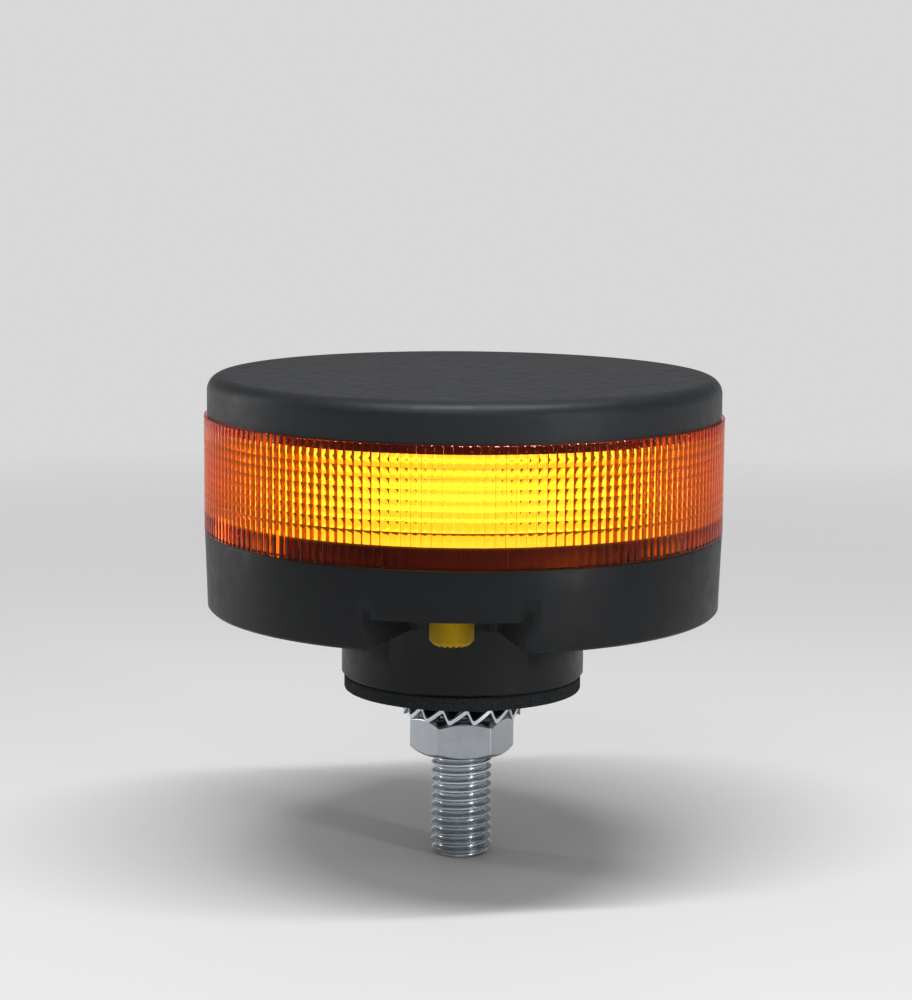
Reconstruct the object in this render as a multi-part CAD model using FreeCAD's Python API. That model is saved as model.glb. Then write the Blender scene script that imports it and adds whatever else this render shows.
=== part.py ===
import FreeCAD, Part
import math
import os

# Low-profile LED warning beacon for single-bolt mounting, in millimetres.
# +Z runs up the stud axis. z = 0 is the underside of the mounting gasket, which meets the panel.
# The front, with the cable pocket, faces -Y. Azimuths count from the front towards +X.

# Heights of the stack, from the mounting plane upwards
GASKET_THICK = 2.7
BOSS_HEIGHT = 13.8
SKIRT_HEIGHT = 15.5
LENS_HEIGHT = 22.7
COVER_HEIGHT = 7.7

# Clearances
SLIP_GAP = 0.05         # a piece that slides or turns in its hole
PART_GAP = 0.3          # mouldings that pass each other without touching
OVERCUT = 1.0           # how far a cut reaches past the face it opens

# Lens ring: vertical flutes outside, horizontal prism ribs inside
LENS_R = 51.0
LENS_WALL = 2.1
FLUTE_COUNT = 188
FLUTE_DEPTH = 0.38
RIB_PITCH = 1.95
FOCAL_LENGTH = 15.5
OPTICAL_HEIGHT = 11.5   # the ribs' common axis, over the lens's lower edge
LENS_INDEX = 1.586      # refractive index of polycarbonate

# Base housing
SKIRT_INSET = 0.1
SKIRT_WALL = 2.6
SKIRT_DRAFT = 0.5       # taken off the radius at the skirt's foot
SKIRT_BEVEL = 0.6
RIM_CHAMFER = 0.45
RIM_DEPTH = 3.0
FLOOR_THICK = 2.5
BASE_SPIGOT_HEIGHT = 3.95
SPIGOT_WALL = 2.0
BOSS_R = 24.0
BOSS_WALL = 4.0
BOSS_FLOOR = 3.5
BOSS_BEVEL = 0.8
STUD_CORE_WALL = 2.1
STUD_CORE_ROOF = 2.0
CORE_RIB_COUNT = 8
CORE_RIB_THICK = 1.6

# Cable pocket, a wedge cut into the front of the base, with the cable outlet in its roof
POCKET_AZIMUTH = -3.4
POCKET_SPAN = 33.8
POCKET_DEPTH = 5.9
POCKET_OFF_BOSS = 3.3
POCKET_WALL = 2.5
POCKET_CORNER_R = 2.5
OUTLET_OFF_BOSS = 10.4
OUTLET_LENGTH = 5.6
OUTLET_WALL = 2.0

# Top cover
COVER_INSET = 0.6
COVER_THICK = 2.5
COVER_EDGE_R = 3.0
COVER_LIP = 0.3
COVER_SPIGOT_DEPTH = 1.9
COVER_RIB_COUNT = 12
COVER_RIB_THICK = 1.4
COVER_RIB_DEPTH = 2.4

# Round seals, each pressed into a groove under or over the lens
SEAL_WIDTH = 1.3
SEAL_HEIGHT = 1.1
SEAL_BEVEL = 0.3
SEAL_OFF_SPIGOT = 0.8

# Cover screws: from under the gasket, through the base and the LED carrier into the cover
SCREW_COUNT = 4
SCREW_AZIMUTH = 45.0
SCREW_OFF_BOSS_EDGE = 6.5
SCREW_R = 1.75
SCREW_LENGTH = 40.0
SCREW_HEAD_R = 3.2
SCREW_HEAD_HEIGHT = 2.4
SCREW_BEVEL = 0.6       # on the head's rim and on the tip
SCREW_SINK = 0.3
POST_WALL = 1.8
COVER_POST_WALL = 1.9

# LED carrier: a faceted aluminium drum on a flange
FACET_COUNT = 12
CARRIER_WALL = 2.5
CARRIER_HEIGHT = 18.5
CARRIER_LIFT = 14.0     # the flange's underside, over the inside of the base's floor
FLANGE_THICK = 2.0
FLANGE_HOLE_R = 11.0
FIN_THICK = 1.6
FIN_DEPTH = 2.2

# LED boards and LEDs
BOARD_GAP = 1.2         # between neighbouring boards, along a facet
BOARD_HEIGHT = 15.5
BOARD_LIFT = 2.5        # over the flange's underside
BOARD_THICK = 1.0
LEDS_PER_BOARD = 3
LED_SIDE = 3.0
LED_THICK = 0.8
LED_BEVEL = 0.3

# Driver board and what stands on it
DRIVER_THICK = 1.6
DRIVER_OFF_POCKET = 0.5
DRIVER_STANDOFF = 2.0
STANDOFF_COUNT = 3
STANDOFF_AZIMUTH = 60.0
STANDOFF_R = 2.1
STANDOFF_OFF_BORE = 2.2
BOARD_SCREW_R = 1.1
BOARD_SCREW_LENGTH = 4.5
BOARD_SCREW_HEAD_R = 2.0
BOARD_SCREW_HEAD = 1.4
INPUT_CAP_R = 4.0
INPUT_CAP_HEIGHT = 11.5
OUTPUT_CAP_R = 3.15
OUTPUT_CAP_HEIGHT = 7.7
CAP_SPACING = 4.6
CAP_BEVEL = 0.4         # on the crown and at the waist
CAP_WAIST = 1.6
COIL_SIDE = 8.4
COIL_HEIGHT = 4.8
COIL_CORNER_R = 1.6
COIL_DISH_R = 3.4
COIL_DISH_DEPTH = 0.5
CHIP_SIDE = 7.0
CHIP_HEIGHT = 1.2
REGULATOR_SIDE = 6.2
REGULATOR_HEIGHT = 2.3
TAB_LENGTH = 1.4
TAB_WIDTH = 5.0
TAB_THICK = 0.6
TERMINAL_WIDTH = 10.0
TERMINAL_DEPTH = 6.5
TERMINAL_HEIGHT = 7.0
TERMINAL_POLES = 3
TERMINAL_PORT_R = 1.1
TERMINAL_PORT_DEPTH = 3.2
HEADER_PINS = 4
HEADER_PITCH = 2.0
HEADER_DEPTH = 2.2
HEADER_HEIGHT = 2.6
HEADER_OFFSET = 7.2
PIN_SIDE = 0.5
PIN_LENGTH = 6.0

# Mounting stud, a hexagon screw moulded into the boss
STUD_R = 6.0
STUD_LENGTH = 40.0
STUD_TIP_CHAMFER = 1.1
STUD_HEAD_FLATS = 18.0
STUD_HEAD_HEIGHT = 7.5
HEX_AZIMUTH = 4.6       # the flat that faces the front on the nut, and the same on the stud's head

# Gasket, washers and nut
GASKET_INSET = 0.5
GASKET_HOLE_GAP = 0.3
GASKET_BEVEL = 0.3
WASHER_PRINT = 0.3      # how far the tightened washer sinks into the foam
WASHER_R = 12.0
WASHER_HOLE_GAP = 0.5
WASHER_THICK = 2.5
WASHER_BEVEL = 0.3
TOOTH_COUNT = 15
TOOTH_TIP_R = 11.7
TOOTH_ROOT_R = 9.0
TOOTH_ROOT_WIDTH = 2.4
TOOTH_TIP_WIDTH = 3.6
TOOTH_BAND_THICK = 1.15
TOOTH_THICK = 0.95
TOOTH_TWIST = 50.0
NUT_FLATS = 18.2
NUT_HEIGHT = 7.5
NUT_CHAMFER = 30.0
NUT_FACE_SHARE = 0.95   # of the width across flats
NUT_MOUTH = 0.7

# Blanking plug in the cable outlet
PLUG_R = 4.2
PLUG_DROP = 7.1
PLUG_CHAMFER = 0.9
PLUG_STEM_R = 3.0
PLUG_STEM_LENGTH = 5.2
PLUG_SLOT_COUNT = 18
PLUG_SLOT_WIDTH = 0.6
PLUG_SLOT_DEPTH = 0.4
PLUG_RING_WIDTH = 1.2
PLUG_RING_DEPTH = 0.8
PLUG_RING_DROP = 1.4
PLUG_RING_BEVEL = 0.3

# Heights worked out from the stack
Z_BOSS = GASKET_THICK
Z_UNDER = Z_BOSS + BOSS_HEIGHT
Z_LENS = Z_UNDER + SKIRT_HEIGHT
Z_COVER = Z_LENS + LENS_HEIGHT
Z_TOP = Z_COVER + COVER_HEIGHT
Z_BOSS_FLOOR = Z_BOSS + BOSS_FLOOR
Z_FLOOR = Z_UNDER + FLOOR_THICK
Z_POCKET = Z_UNDER + POCKET_DEPTH
Z_BASE_SPIGOT = Z_LENS + BASE_SPIGOT_HEIGHT
Z_COVER_SPIGOT = Z_COVER - COVER_SPIGOT_DEPTH
Z_CEILING = Z_TOP - COVER_THICK
Z_OPTICAL = Z_LENS + OPTICAL_HEIGHT
Z_SCREW_SEAT = Z_BOSS + SCREW_SINK + SCREW_HEAD_HEIGHT
Z_FLANGE = Z_FLOOR + CARRIER_LIFT
Z_DRIVER = Z_FLOOR + DRIVER_STANDOFF
Z_DRIVER_TOP = Z_DRIVER + DRIVER_THICK

# Radii worked out from the lens and the boss
LENS_BORE_R = LENS_R - FLUTE_DEPTH - LENS_WALL
SPIGOT_R = LENS_BORE_R - PART_GAP
SPIGOT_BORE_R = SPIGOT_R - SPIGOT_WALL
SKIRT_R = LENS_R - SKIRT_INSET
COVER_R = LENS_R - COVER_INSET
SEAL_R = SPIGOT_R + SEAL_OFF_SPIGOT
LED_FACE_R = LENS_BORE_R - FOCAL_LENGTH
CARRIER_APOTHEM = LED_FACE_R - LED_THICK - BOARD_THICK
CARRIER_BORE_R = CARRIER_APOTHEM - CARRIER_WALL
BOARD_WIDTH = 2 * CARRIER_APOTHEM * math.tan(math.pi / FACET_COUNT) - BOARD_GAP
LED_SPACING = BOARD_WIDTH / LEDS_PER_BOARD
BOSS_BORE_R = BOSS_R - BOSS_WALL
SCREW_CIRCLE_R = BOSS_R - SCREW_OFF_BOSS_EDGE
POST_R = SCREW_R + POST_WALL
POCKET_END_R = BOSS_R + POCKET_OFF_BOSS
OUTLET_R = BOSS_R + OUTLET_OFF_BOSS
DRIVER_R = POCKET_END_R - POCKET_WALL - DRIVER_OFF_POCKET
STANDOFF_CIRCLE_R = BOSS_BORE_R + STANDOFF_OFF_BORE
CORE_R = STUD_HEAD_FLATS / math.sqrt(3) + STUD_CORE_WALL
REGULATOR_R = STANDOFF_CIRCLE_R - BOARD_SCREW_HEAD_R - PART_GAP - REGULATOR_SIDE / 2 - TAB_LENGTH

# The clamped stack under the gasket
TEETH_HEIGHT = (TOOTH_TIP_WIDTH * math.sin(math.radians(TOOTH_TWIST))
                + TOOTH_THICK * math.cos(math.radians(TOOTH_TWIST)))
Z_WASHER = WASHER_PRINT - WASHER_THICK
Z_TEETH = Z_WASHER - TEETH_HEIGHT
Z_NUT_TOP = Z_TEETH - SLIP_GAP
Z_NUT = Z_NUT_TOP - NUT_HEIGHT

UP = FreeCAD.Vector(0, 0, 1)
CENTRE = FreeCAD.Vector(0, 0, 0)


# Geometry helpers

def in_section(r, z):
    """A point of a turned section, at radius r and height z."""
    return FreeCAD.Vector(r, 0, z)


def in_plan(x, y):
    """A point of a plan outline at height 0."""
    return FreeCAD.Vector(x, y, 0)


def rounded_face(corners, place=in_section):
    """A face whose corners (u, v) or (u, v, radius) are joined by lines, with tangent arcs."""
    points = [place(c[0], c[1]) for c in corners]
    radii = [c[2] if len(c) > 2 else 0.0 for c in corners]
    starts, ends, edges = [], [], []
    for i, (corner, radius) in enumerate(zip(points, radii)):
        back = (points[i - 1] - corner).normalize()
        ahead = (points[(i + 1) % len(points)] - corner).normalize()
        reach = radius / math.tan(back.getAngle(ahead) / 2)
        starts.append(corner + back * reach)
        ends.append(corner + ahead * reach)
        if radius > 0:
            middle = (back + ahead).normalize()
            depth = math.hypot(reach, radius) - radius
            edges.append(Part.Arc(starts[-1], corner + middle * depth, ends[-1]).toShape())
    for i, end in enumerate(ends):
        start = starts[(i + 1) % len(starts)]
        if end.distanceToPoint(start) > 1e-6:
            edges.append(Part.makeLine(end, start))
    return Part.Face(Part.Wire(Part.__sortEdges__(edges)))


def turned(corners):
    """A solid turned about the Z axis from a section of (radius, height) corners."""
    return rounded_face(corners).revolve(CENTRE, UP, 360)


def bevelled_ring(inner, outer, bottom, top, bevel):
    """A ring about the Z axis with all four of its edges bevelled."""
    return turned([
        (inner + bevel, bottom), (outer - bevel, bottom), (outer, bottom + bevel),
        (outer, top - bevel), (outer - bevel, top), (inner + bevel, top), (inner, top - bevel),
        (inner, bottom + bevel),
    ])


def cylinder(radius, bottom, top, x=0.0, y=0.0):
    """An upright cylinder between two heights."""
    return Part.makeCylinder(radius, top - bottom, FreeCAD.Vector(x, y, bottom))


def ring(inner, outer, bottom, top):
    """A plain ring about the Z axis."""
    return cylinder(outer, bottom, top).cut(cylinder(inner, bottom, top))


def block(length, width, height, bottom, x=0.0, y=0.0):
    """A box centred on x and y that stands on a height."""
    corner = FreeCAD.Vector(x - length / 2, y - width / 2, bottom)
    return Part.makeBox(length, width, height, corner)


def facing(shape, azimuth):
    """Turn a shape that was built towards +X so that it points to an azimuth."""
    result = shape.copy()
    result.rotate(CENTRE, UP, azimuth - 90)
    return result


def around(shape, count, first=0.0):
    """Copies of a shape built towards +X, spread evenly from a first azimuth."""
    return [facing(shape, first + i * 360.0 / count) for i in range(count)]


def fused(shapes):
    """One solid from shapes that overlap."""
    return shapes[0].multiFuse(shapes[1:]).removeSplitter()


def hexagon(flats, bottom, top):
    """A hexagonal prism with a flat towards the front of the beacon."""
    corner_r = flats / math.sqrt(3)
    points = [in_plan(corner_r * math.cos(math.radians(a)), corner_r * math.sin(math.radians(a)))
              for a in range(30, 390, 60)]
    prism = Part.Face(Part.makePolygon(points + points[:1])).extrude(UP * (top - bottom))
    prism.translate(UP * bottom)
    return facing(prism, HEX_AZIMUTH)


# Lens ring

def prism_zones(limit, way):
    """Stretches (near, far, depth) of the ribs on one side of the optical axis, out to a limit.

    Each rib bends a ray from the LEDs level: tan(slope) = sin(ray) / (index - cos(ray)).
    """
    zones = []
    near = RIB_PITCH / 2
    while limit - near > RIB_PITCH / 4:
        far = min(near + RIB_PITCH, limit)
        ray = math.atan((near + far) / 2 / FOCAL_LENGTH)
        slope = math.sin(ray) / (LENS_INDEX - math.cos(ray))
        zones.append((Z_OPTICAL + way * near, Z_OPTICAL + way * far, (far - near) * slope))
        near = far
    return zones


def lens_bore():
    """The space inside the lens, whose wall carries the horizontal prism ribs."""
    lower = prism_zones(Z_OPTICAL - Z_BASE_SPIGOT - PART_GAP, -1)
    upper = prism_zones(Z_COVER_SPIGOT - PART_GAP - Z_OPTICAL, 1)
    wall = [(0, Z_LENS), (LENS_BORE_R, Z_LENS)]
    for near, far, depth in reversed(lower):
        wall += [(LENS_BORE_R, far), (LENS_BORE_R - depth, near)]
    centre_bulge = RIB_PITCH ** 2 / (8 * FOCAL_LENGTH * (LENS_INDEX - 1))
    wall += [(LENS_BORE_R, Z_OPTICAL - RIB_PITCH / 2)]
    wall += [(LENS_BORE_R - centre_bulge, Z_OPTICAL)]
    wall += [(LENS_BORE_R, Z_OPTICAL + RIB_PITCH / 2)]
    for near, far, depth in upper:
        wall += [(LENS_BORE_R - depth, near), (LENS_BORE_R, far)]
    wall += [(LENS_BORE_R, Z_COVER), (0, Z_COVER)]
    return turned(wall)


def lens_ring():
    """The amber lens: convex vertical flutes all round, over the ribbed bore."""
    step = 2 * math.pi / FLUTE_COUNT
    valley_r = LENS_R - FLUTE_DEPTH

    def at(radius, turns):
        return in_plan(radius * math.cos(turns * step), radius * math.sin(turns * step))

    flutes = [Part.Arc(at(valley_r, i), at(LENS_R, i + 0.5), at(valley_r, i + 1)).toShape()
              for i in range(FLUTE_COUNT)]
    prism = Part.Face(Part.Wire(flutes)).extrude(UP * LENS_HEIGHT)
    prism.translate(UP * Z_LENS)
    return prism.cut(lens_bore())


# Base housing

def pocket_wedge(offset, bottom, top):
    """The cable pocket's wedge between two heights, grown all round by an offset."""
    half = math.radians(POCKET_SPAN / 2)
    inner = POCKET_END_R - offset
    outer = SKIRT_R + SKIRT_WALL

    def half_width(u):
        return u * math.tan(half) + offset / math.cos(half)

    corners = [(inner, -half_width(inner), POCKET_CORNER_R), (outer, -half_width(outer)),
               (outer, half_width(outer)), (inner, half_width(inner), POCKET_CORNER_R)]
    wedge = rounded_face(corners, in_plan).extrude(UP * (top - bottom))
    wedge.translate(UP * bottom)
    return facing(wedge, POCKET_AZIMUTH)


def base_shell():
    """The turned shell of the base: boss, floor, skirt, seal rim and the spigot inside the lens."""
    foot_r = SKIRT_R - SKIRT_DRAFT
    skirt_bore_r = SKIRT_R - SKIRT_WALL
    rim_bottom = Z_LENS - RIM_DEPTH
    groove_bottom = Z_LENS - SEAL_HEIGHT
    return turned([
        (0, Z_BOSS), (BOSS_R - BOSS_BEVEL, Z_BOSS), (BOSS_R, Z_BOSS + BOSS_BEVEL),
        (BOSS_R, Z_UNDER), (foot_r - SKIRT_BEVEL, Z_UNDER), (foot_r, Z_UNDER + SKIRT_BEVEL),
        (SKIRT_R, Z_LENS - RIM_CHAMFER),
        (SKIRT_R - RIM_CHAMFER, Z_LENS), (SEAL_R + SEAL_WIDTH, Z_LENS),
        (SEAL_R + SEAL_WIDTH, groove_bottom), (SEAL_R, groove_bottom), (SEAL_R, Z_LENS),
        (SPIGOT_R, Z_LENS), (SPIGOT_R, Z_BASE_SPIGOT), (SPIGOT_BORE_R, Z_BASE_SPIGOT),
        (SPIGOT_BORE_R, rim_bottom), (skirt_bore_r, rim_bottom - (skirt_bore_r - SPIGOT_BORE_R)),
        (skirt_bore_r, Z_FLOOR), (BOSS_BORE_R, Z_FLOOR), (BOSS_BORE_R, Z_BOSS_FLOOR),
        (0, Z_BOSS_FLOOR),
    ])


def stud_core():
    """The mass of plastic moulded round the stud's head, with ribs out to the boss wall."""
    core_top = Z_BOSS_FLOOR + STUD_HEAD_HEIGHT + STUD_CORE_ROOF
    reach = BOSS_BORE_R + BOSS_WALL / 2
    rib = block(reach, CORE_RIB_THICK, core_top - Z_BOSS_FLOOR, Z_BOSS_FLOOR, reach / 2)
    core = cylinder(CORE_R, Z_BOSS_FLOOR - BOSS_FLOOR / 2, core_top)
    return fused([core] + around(rib, CORE_RIB_COUNT, SCREW_AZIMUTH / 2))


def base_posts():
    """Tall posts that carry the LED carrier's flange, one round each cover screw."""
    post = cylinder(POST_R, Z_BOSS_FLOOR - BOSS_FLOOR / 4, Z_FLANGE, SCREW_CIRCLE_R)
    return around(post, SCREW_COUNT, SCREW_AZIMUTH)


def base_cuts():
    """The screws' holes and seats, the standoffs' pilot holes and the cable outlet."""
    hole = cylinder(SCREW_R + SLIP_GAP, Z_BOSS, Z_FLANGE, SCREW_CIRCLE_R)
    seat = cylinder(SCREW_HEAD_R + PART_GAP, Z_BOSS - SCREW_SINK, Z_SCREW_SEAT, SCREW_CIRCLE_R)
    pilot_bottom = Z_DRIVER_TOP - BOARD_SCREW_LENGTH - SLIP_GAP
    pilot = cylinder(BOARD_SCREW_R + SLIP_GAP, pilot_bottom, Z_DRIVER, STANDOFF_CIRCLE_R)
    outlet = cylinder(PLUG_STEM_R + SLIP_GAP, Z_POCKET - OVERCUT,
                      Z_POCKET + OUTLET_LENGTH + OVERCUT, OUTLET_R)
    return (around(hole, SCREW_COUNT, SCREW_AZIMUTH) + around(seat, SCREW_COUNT, SCREW_AZIMUTH)
            + around(pilot, STANDOFF_COUNT, STANDOFF_AZIMUTH) + [facing(outlet, POCKET_AZIMUTH)])


def base_housing():
    """The black base with its boss, pocket, posts and cable outlet."""
    standoff = cylinder(STANDOFF_R, Z_FLOOR - FLOOR_THICK / 2, Z_DRIVER, STANDOFF_CIRCLE_R)
    outlet_r = PLUG_STEM_R + SLIP_GAP + OUTLET_WALL
    sleeve = cylinder(outlet_r, Z_POCKET, Z_POCKET + OUTLET_LENGTH, OUTLET_R)
    pocket_box = pocket_wedge(POCKET_WALL, Z_UNDER + SKIRT_BEVEL, Z_POCKET + POCKET_WALL)
    pocket_box = pocket_box.common(cylinder(SKIRT_R - SKIRT_WALL / 2, Z_UNDER, Z_LENS))
    solid = fused([base_shell(), stud_core(), pocket_box, facing(sleeve, POCKET_AZIMUTH)]
                  + base_posts() + around(standoff, STANDOFF_COUNT, STANDOFF_AZIMUTH))
    solid = solid.cut(pocket_wedge(0, Z_UNDER - OVERCUT, Z_POCKET))
    for tool in base_cuts() + [stud_shape(SLIP_GAP)]:
        solid = solid.cut(tool)
    return solid.removeSplitter()


# Top cover

def cover_posts():
    """Posts that reach down from the cover to clamp the LED carrier's flange."""
    post = cylinder(SCREW_R + COVER_POST_WALL, Z_FLANGE + FLANGE_THICK,
                    Z_CEILING + COVER_THICK / 2, SCREW_CIRCLE_R)
    return around(post, SCREW_COUNT, SCREW_AZIMUTH)


def top_cover():
    """The black cover: round-edged cap, seal groove, spigot, stiffening ribs and screw posts."""
    groove_top = Z_COVER + SEAL_HEIGHT
    cap = turned([
        (0, Z_TOP), (0, Z_CEILING), (SPIGOT_BORE_R, Z_CEILING), (SPIGOT_BORE_R, Z_COVER_SPIGOT),
        (SPIGOT_R, Z_COVER_SPIGOT), (SPIGOT_R, Z_COVER), (SEAL_R, Z_COVER), (SEAL_R, groove_top),
        (SEAL_R + SEAL_WIDTH, groove_top), (SEAL_R + SEAL_WIDTH, Z_COVER),
        (COVER_R - COVER_LIP, Z_COVER), (COVER_R, Z_COVER + COVER_LIP),
        (COVER_R, Z_TOP, COVER_EDGE_R),
    ])
    rib_start = SCREW_CIRCLE_R + SCREW_R + COVER_POST_WALL / 2
    rib_end = SPIGOT_BORE_R + SPIGOT_WALL / 2
    rib = block(rib_end - rib_start, COVER_RIB_THICK, COVER_RIB_DEPTH + COVER_THICK / 2,
                Z_CEILING - COVER_RIB_DEPTH, (rib_start + rib_end) / 2)
    hub = ring(rib_start - COVER_RIB_THICK, rib_start + COVER_RIB_THICK,
               Z_CEILING - COVER_RIB_DEPTH, Z_CEILING + COVER_THICK / 2)
    solid = fused([cap, hub] + around(rib, COVER_RIB_COUNT, SCREW_AZIMUTH / 3) + cover_posts())
    pilot = cylinder(SCREW_R + SLIP_GAP, Z_FLANGE, Z_SCREW_SEAT + SCREW_LENGTH + PART_GAP,
                     SCREW_CIRCLE_R)
    for tool in around(pilot, SCREW_COUNT, SCREW_AZIMUTH):
        solid = solid.cut(tool)
    return solid.removeSplitter()


def seal(bottom):
    """A round seal, pressed flat in its groove."""
    return bevelled_ring(SEAL_R, SEAL_R + SEAL_WIDTH, bottom, bottom + SEAL_HEIGHT, SEAL_BEVEL)


# Screws

def screw(radius, length, head_r, head_height, seat, way, offset):
    """A pan-head screw at an offset on X. way is the direction of its shank, 1 up or -1 down."""
    tip = seat + way * length
    crown = seat - way * head_height
    bevel = way * SCREW_BEVEL
    solid = turned([(0, crown), (head_r - SCREW_BEVEL, crown), (head_r, crown + bevel),
                    (head_r, seat), (radius, seat), (radius, tip - bevel),
                    (radius - SCREW_BEVEL, tip), (0, tip)])
    solid.translate(FreeCAD.Vector(offset, 0, 0))
    return solid


def cover_screws():
    """The screws that hold cover, LED carrier and base together."""
    one = screw(SCREW_R, SCREW_LENGTH, SCREW_HEAD_R, SCREW_HEAD_HEIGHT, Z_SCREW_SEAT, 1,
                SCREW_CIRCLE_R)
    return Part.makeCompound(around(one, SCREW_COUNT, SCREW_AZIMUTH))


def board_screws():
    """The screws that hold the driver board on its standoffs."""
    one = screw(BOARD_SCREW_R, BOARD_SCREW_LENGTH, BOARD_SCREW_HEAD_R, BOARD_SCREW_HEAD,
                Z_DRIVER_TOP, -1, STANDOFF_CIRCLE_R)
    return Part.makeCompound(around(one, STANDOFF_COUNT, STANDOFF_AZIMUTH))


# LED carrier and LED boards

def carrier_prism(apothem, bottom, top):
    """A prism with one flat side for each LED board, the first towards the front."""
    corner_r = apothem / math.cos(math.pi / FACET_COUNT)
    turn = 2 * math.pi / FACET_COUNT
    points = [in_plan(corner_r * math.cos((i + 0.5) * turn), corner_r * math.sin((i + 0.5) * turn))
              for i in range(FACET_COUNT)]
    prism = Part.Face(Part.makePolygon(points + points[:1])).extrude(UP * (top - bottom))
    prism.translate(UP * bottom)
    return facing(prism, 0)


def led_carrier():
    """The faceted drum that carries and cools the LED boards, on a flange under the cover posts."""
    top = Z_FLANGE + CARRIER_HEIGHT
    flange_top = Z_FLANGE + FLANGE_THICK
    drum = carrier_prism(CARRIER_APOTHEM, Z_FLANGE, top)
    drum = drum.cut(cylinder(CARRIER_BORE_R, flange_top, top))
    drum = drum.cut(cylinder(FLANGE_HOLE_R, Z_FLANGE, flange_top))
    fin_r = CARRIER_BORE_R - FIN_DEPTH / 2
    fin = block(FIN_DEPTH + CARRIER_WALL / 2, FIN_THICK, CARRIER_HEIGHT - FLANGE_THICK / 2,
                Z_FLANGE + FLANGE_THICK / 2, fin_r)
    drum = fused([drum] + around(fin, FACET_COUNT, 180.0 / FACET_COUNT))
    hole = cylinder(SCREW_R + PART_GAP, Z_FLANGE, flange_top, SCREW_CIRCLE_R)
    for tool in around(hole, SCREW_COUNT, SCREW_AZIMUTH):
        drum = drum.cut(tool)
    return drum


def led_board():
    """One LED board on its facet, built towards +X."""
    return block(BOARD_THICK, BOARD_WIDTH, BOARD_HEIGHT, Z_FLANGE + BOARD_LIFT,
                 CARRIER_APOTHEM + BOARD_THICK / 2)


def led():
    """One LED package with a bevelled front, built towards +X at the optical height."""
    back = block(LED_THICK - LED_BEVEL, LED_SIDE, LED_SIDE, Z_OPTICAL - LED_SIDE / 2,
                 LED_FACE_R - LED_BEVEL - (LED_THICK - LED_BEVEL) / 2)
    half = LED_SIDE / 2

    def square(x, side):
        corners = [(x, -side, -side), (x, side, -side), (x, side, side), (x, -side, side)]
        return Part.makePolygon([FreeCAD.Vector(*c) for c in corners + corners[:1]])

    front = Part.makeLoft([square(LED_FACE_R - LED_BEVEL, half),
                           square(LED_FACE_R, half - LED_BEVEL)], True, True)
    front.translate(UP * Z_OPTICAL)
    return fused([back, front])


def leds():
    """All LED packages, a row on every board."""
    packages = []
    for i in range(LEDS_PER_BOARD):
        one = led()
        one.translate(FreeCAD.Vector(0, (i - (LEDS_PER_BOARD - 1) / 2) * LED_SPACING, 0))
        packages += around(one, FACET_COUNT)
    return Part.makeCompound(packages)


# Driver board

def driver_board():
    """The round driver board, pierced by the screw posts."""
    board = cylinder(DRIVER_R, Z_DRIVER, Z_DRIVER_TOP)
    post = cylinder(POST_R + PART_GAP, Z_DRIVER, Z_DRIVER_TOP, SCREW_CIRCLE_R)
    hole = cylinder(BOARD_SCREW_R + SLIP_GAP, Z_DRIVER, Z_DRIVER_TOP, STANDOFF_CIRCLE_R)
    for tool in around(post, SCREW_COUNT, SCREW_AZIMUTH) + around(
            hole, STANDOFF_COUNT, STANDOFF_AZIMUTH):
        board = board.cut(tool)
    return board


def capacitor(radius, height, side):
    """A can capacitor on the board's middle, with its rolled-in waist and bevelled crown."""
    waist = Z_DRIVER_TOP + CAP_WAIST
    crown = Z_DRIVER_TOP + height
    neck = radius - CAP_BEVEL
    can = turned([(0, Z_DRIVER_TOP), (radius, Z_DRIVER_TOP), (radius, waist - CAP_BEVEL),
                  (neck, waist), (radius, waist + CAP_BEVEL), (radius, crown - CAP_BEVEL),
                  (neck, crown), (0, crown)])
    can.translate(FreeCAD.Vector(side * CAP_SPACING, 0, 0))
    return can


def power_coil():
    """The shielded power inductor, on the right of the board."""
    half = COIL_SIDE / 2
    corners = [(-half, -half), (half, -half), (half, half), (-half, half)]
    body = rounded_face([(x, y, COIL_CORNER_R) for x, y in corners], in_plan)
    body = body.extrude(UP * COIL_HEIGHT)
    body.translate(FreeCAD.Vector(SCREW_CIRCLE_R, 0, Z_DRIVER_TOP))
    coil_top = Z_DRIVER_TOP + COIL_HEIGHT
    dish = cylinder(COIL_DISH_R, coil_top - COIL_DISH_DEPTH, coil_top, SCREW_CIRCLE_R)
    return body.cut(dish)


def controller_chip():
    """The chip that runs the flash pattern, on the left of the board."""
    chip = block(CHIP_SIDE, CHIP_SIDE, CHIP_HEIGHT, Z_DRIVER_TOP, SCREW_CIRCLE_R)
    return facing(chip, -90)


def regulator():
    """The current regulator with its cooling tab, at the back of the board."""
    body = block(REGULATOR_SIDE, REGULATOR_SIDE, REGULATOR_HEIGHT, Z_DRIVER_TOP, REGULATOR_R)
    tab = block(REGULATOR_SIDE + 2 * TAB_LENGTH, TAB_WIDTH, TAB_THICK, Z_DRIVER_TOP, REGULATOR_R)
    return facing(fused([body, tab]), 180)


def supply_terminal():
    """The terminal block that takes the supply cable's wires, beside the cable outlet."""
    body = block(TERMINAL_DEPTH, TERMINAL_WIDTH, TERMINAL_HEIGHT, Z_DRIVER_TOP, SCREW_CIRCLE_R)
    pitch = TERMINAL_WIDTH / TERMINAL_POLES
    for i in range(TERMINAL_POLES):
        y = (i - (TERMINAL_POLES - 1) / 2) * pitch
        port = Part.makeCylinder(
            TERMINAL_PORT_R, TERMINAL_PORT_DEPTH,
            FreeCAD.Vector(SCREW_CIRCLE_R + TERMINAL_DEPTH / 2 - TERMINAL_PORT_DEPTH, y,
                           Z_DRIVER_TOP + TERMINAL_HEIGHT / 2),
            FreeCAD.Vector(1, 0, 0))
        body = body.cut(port)
    return facing(body, 0)


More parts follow.
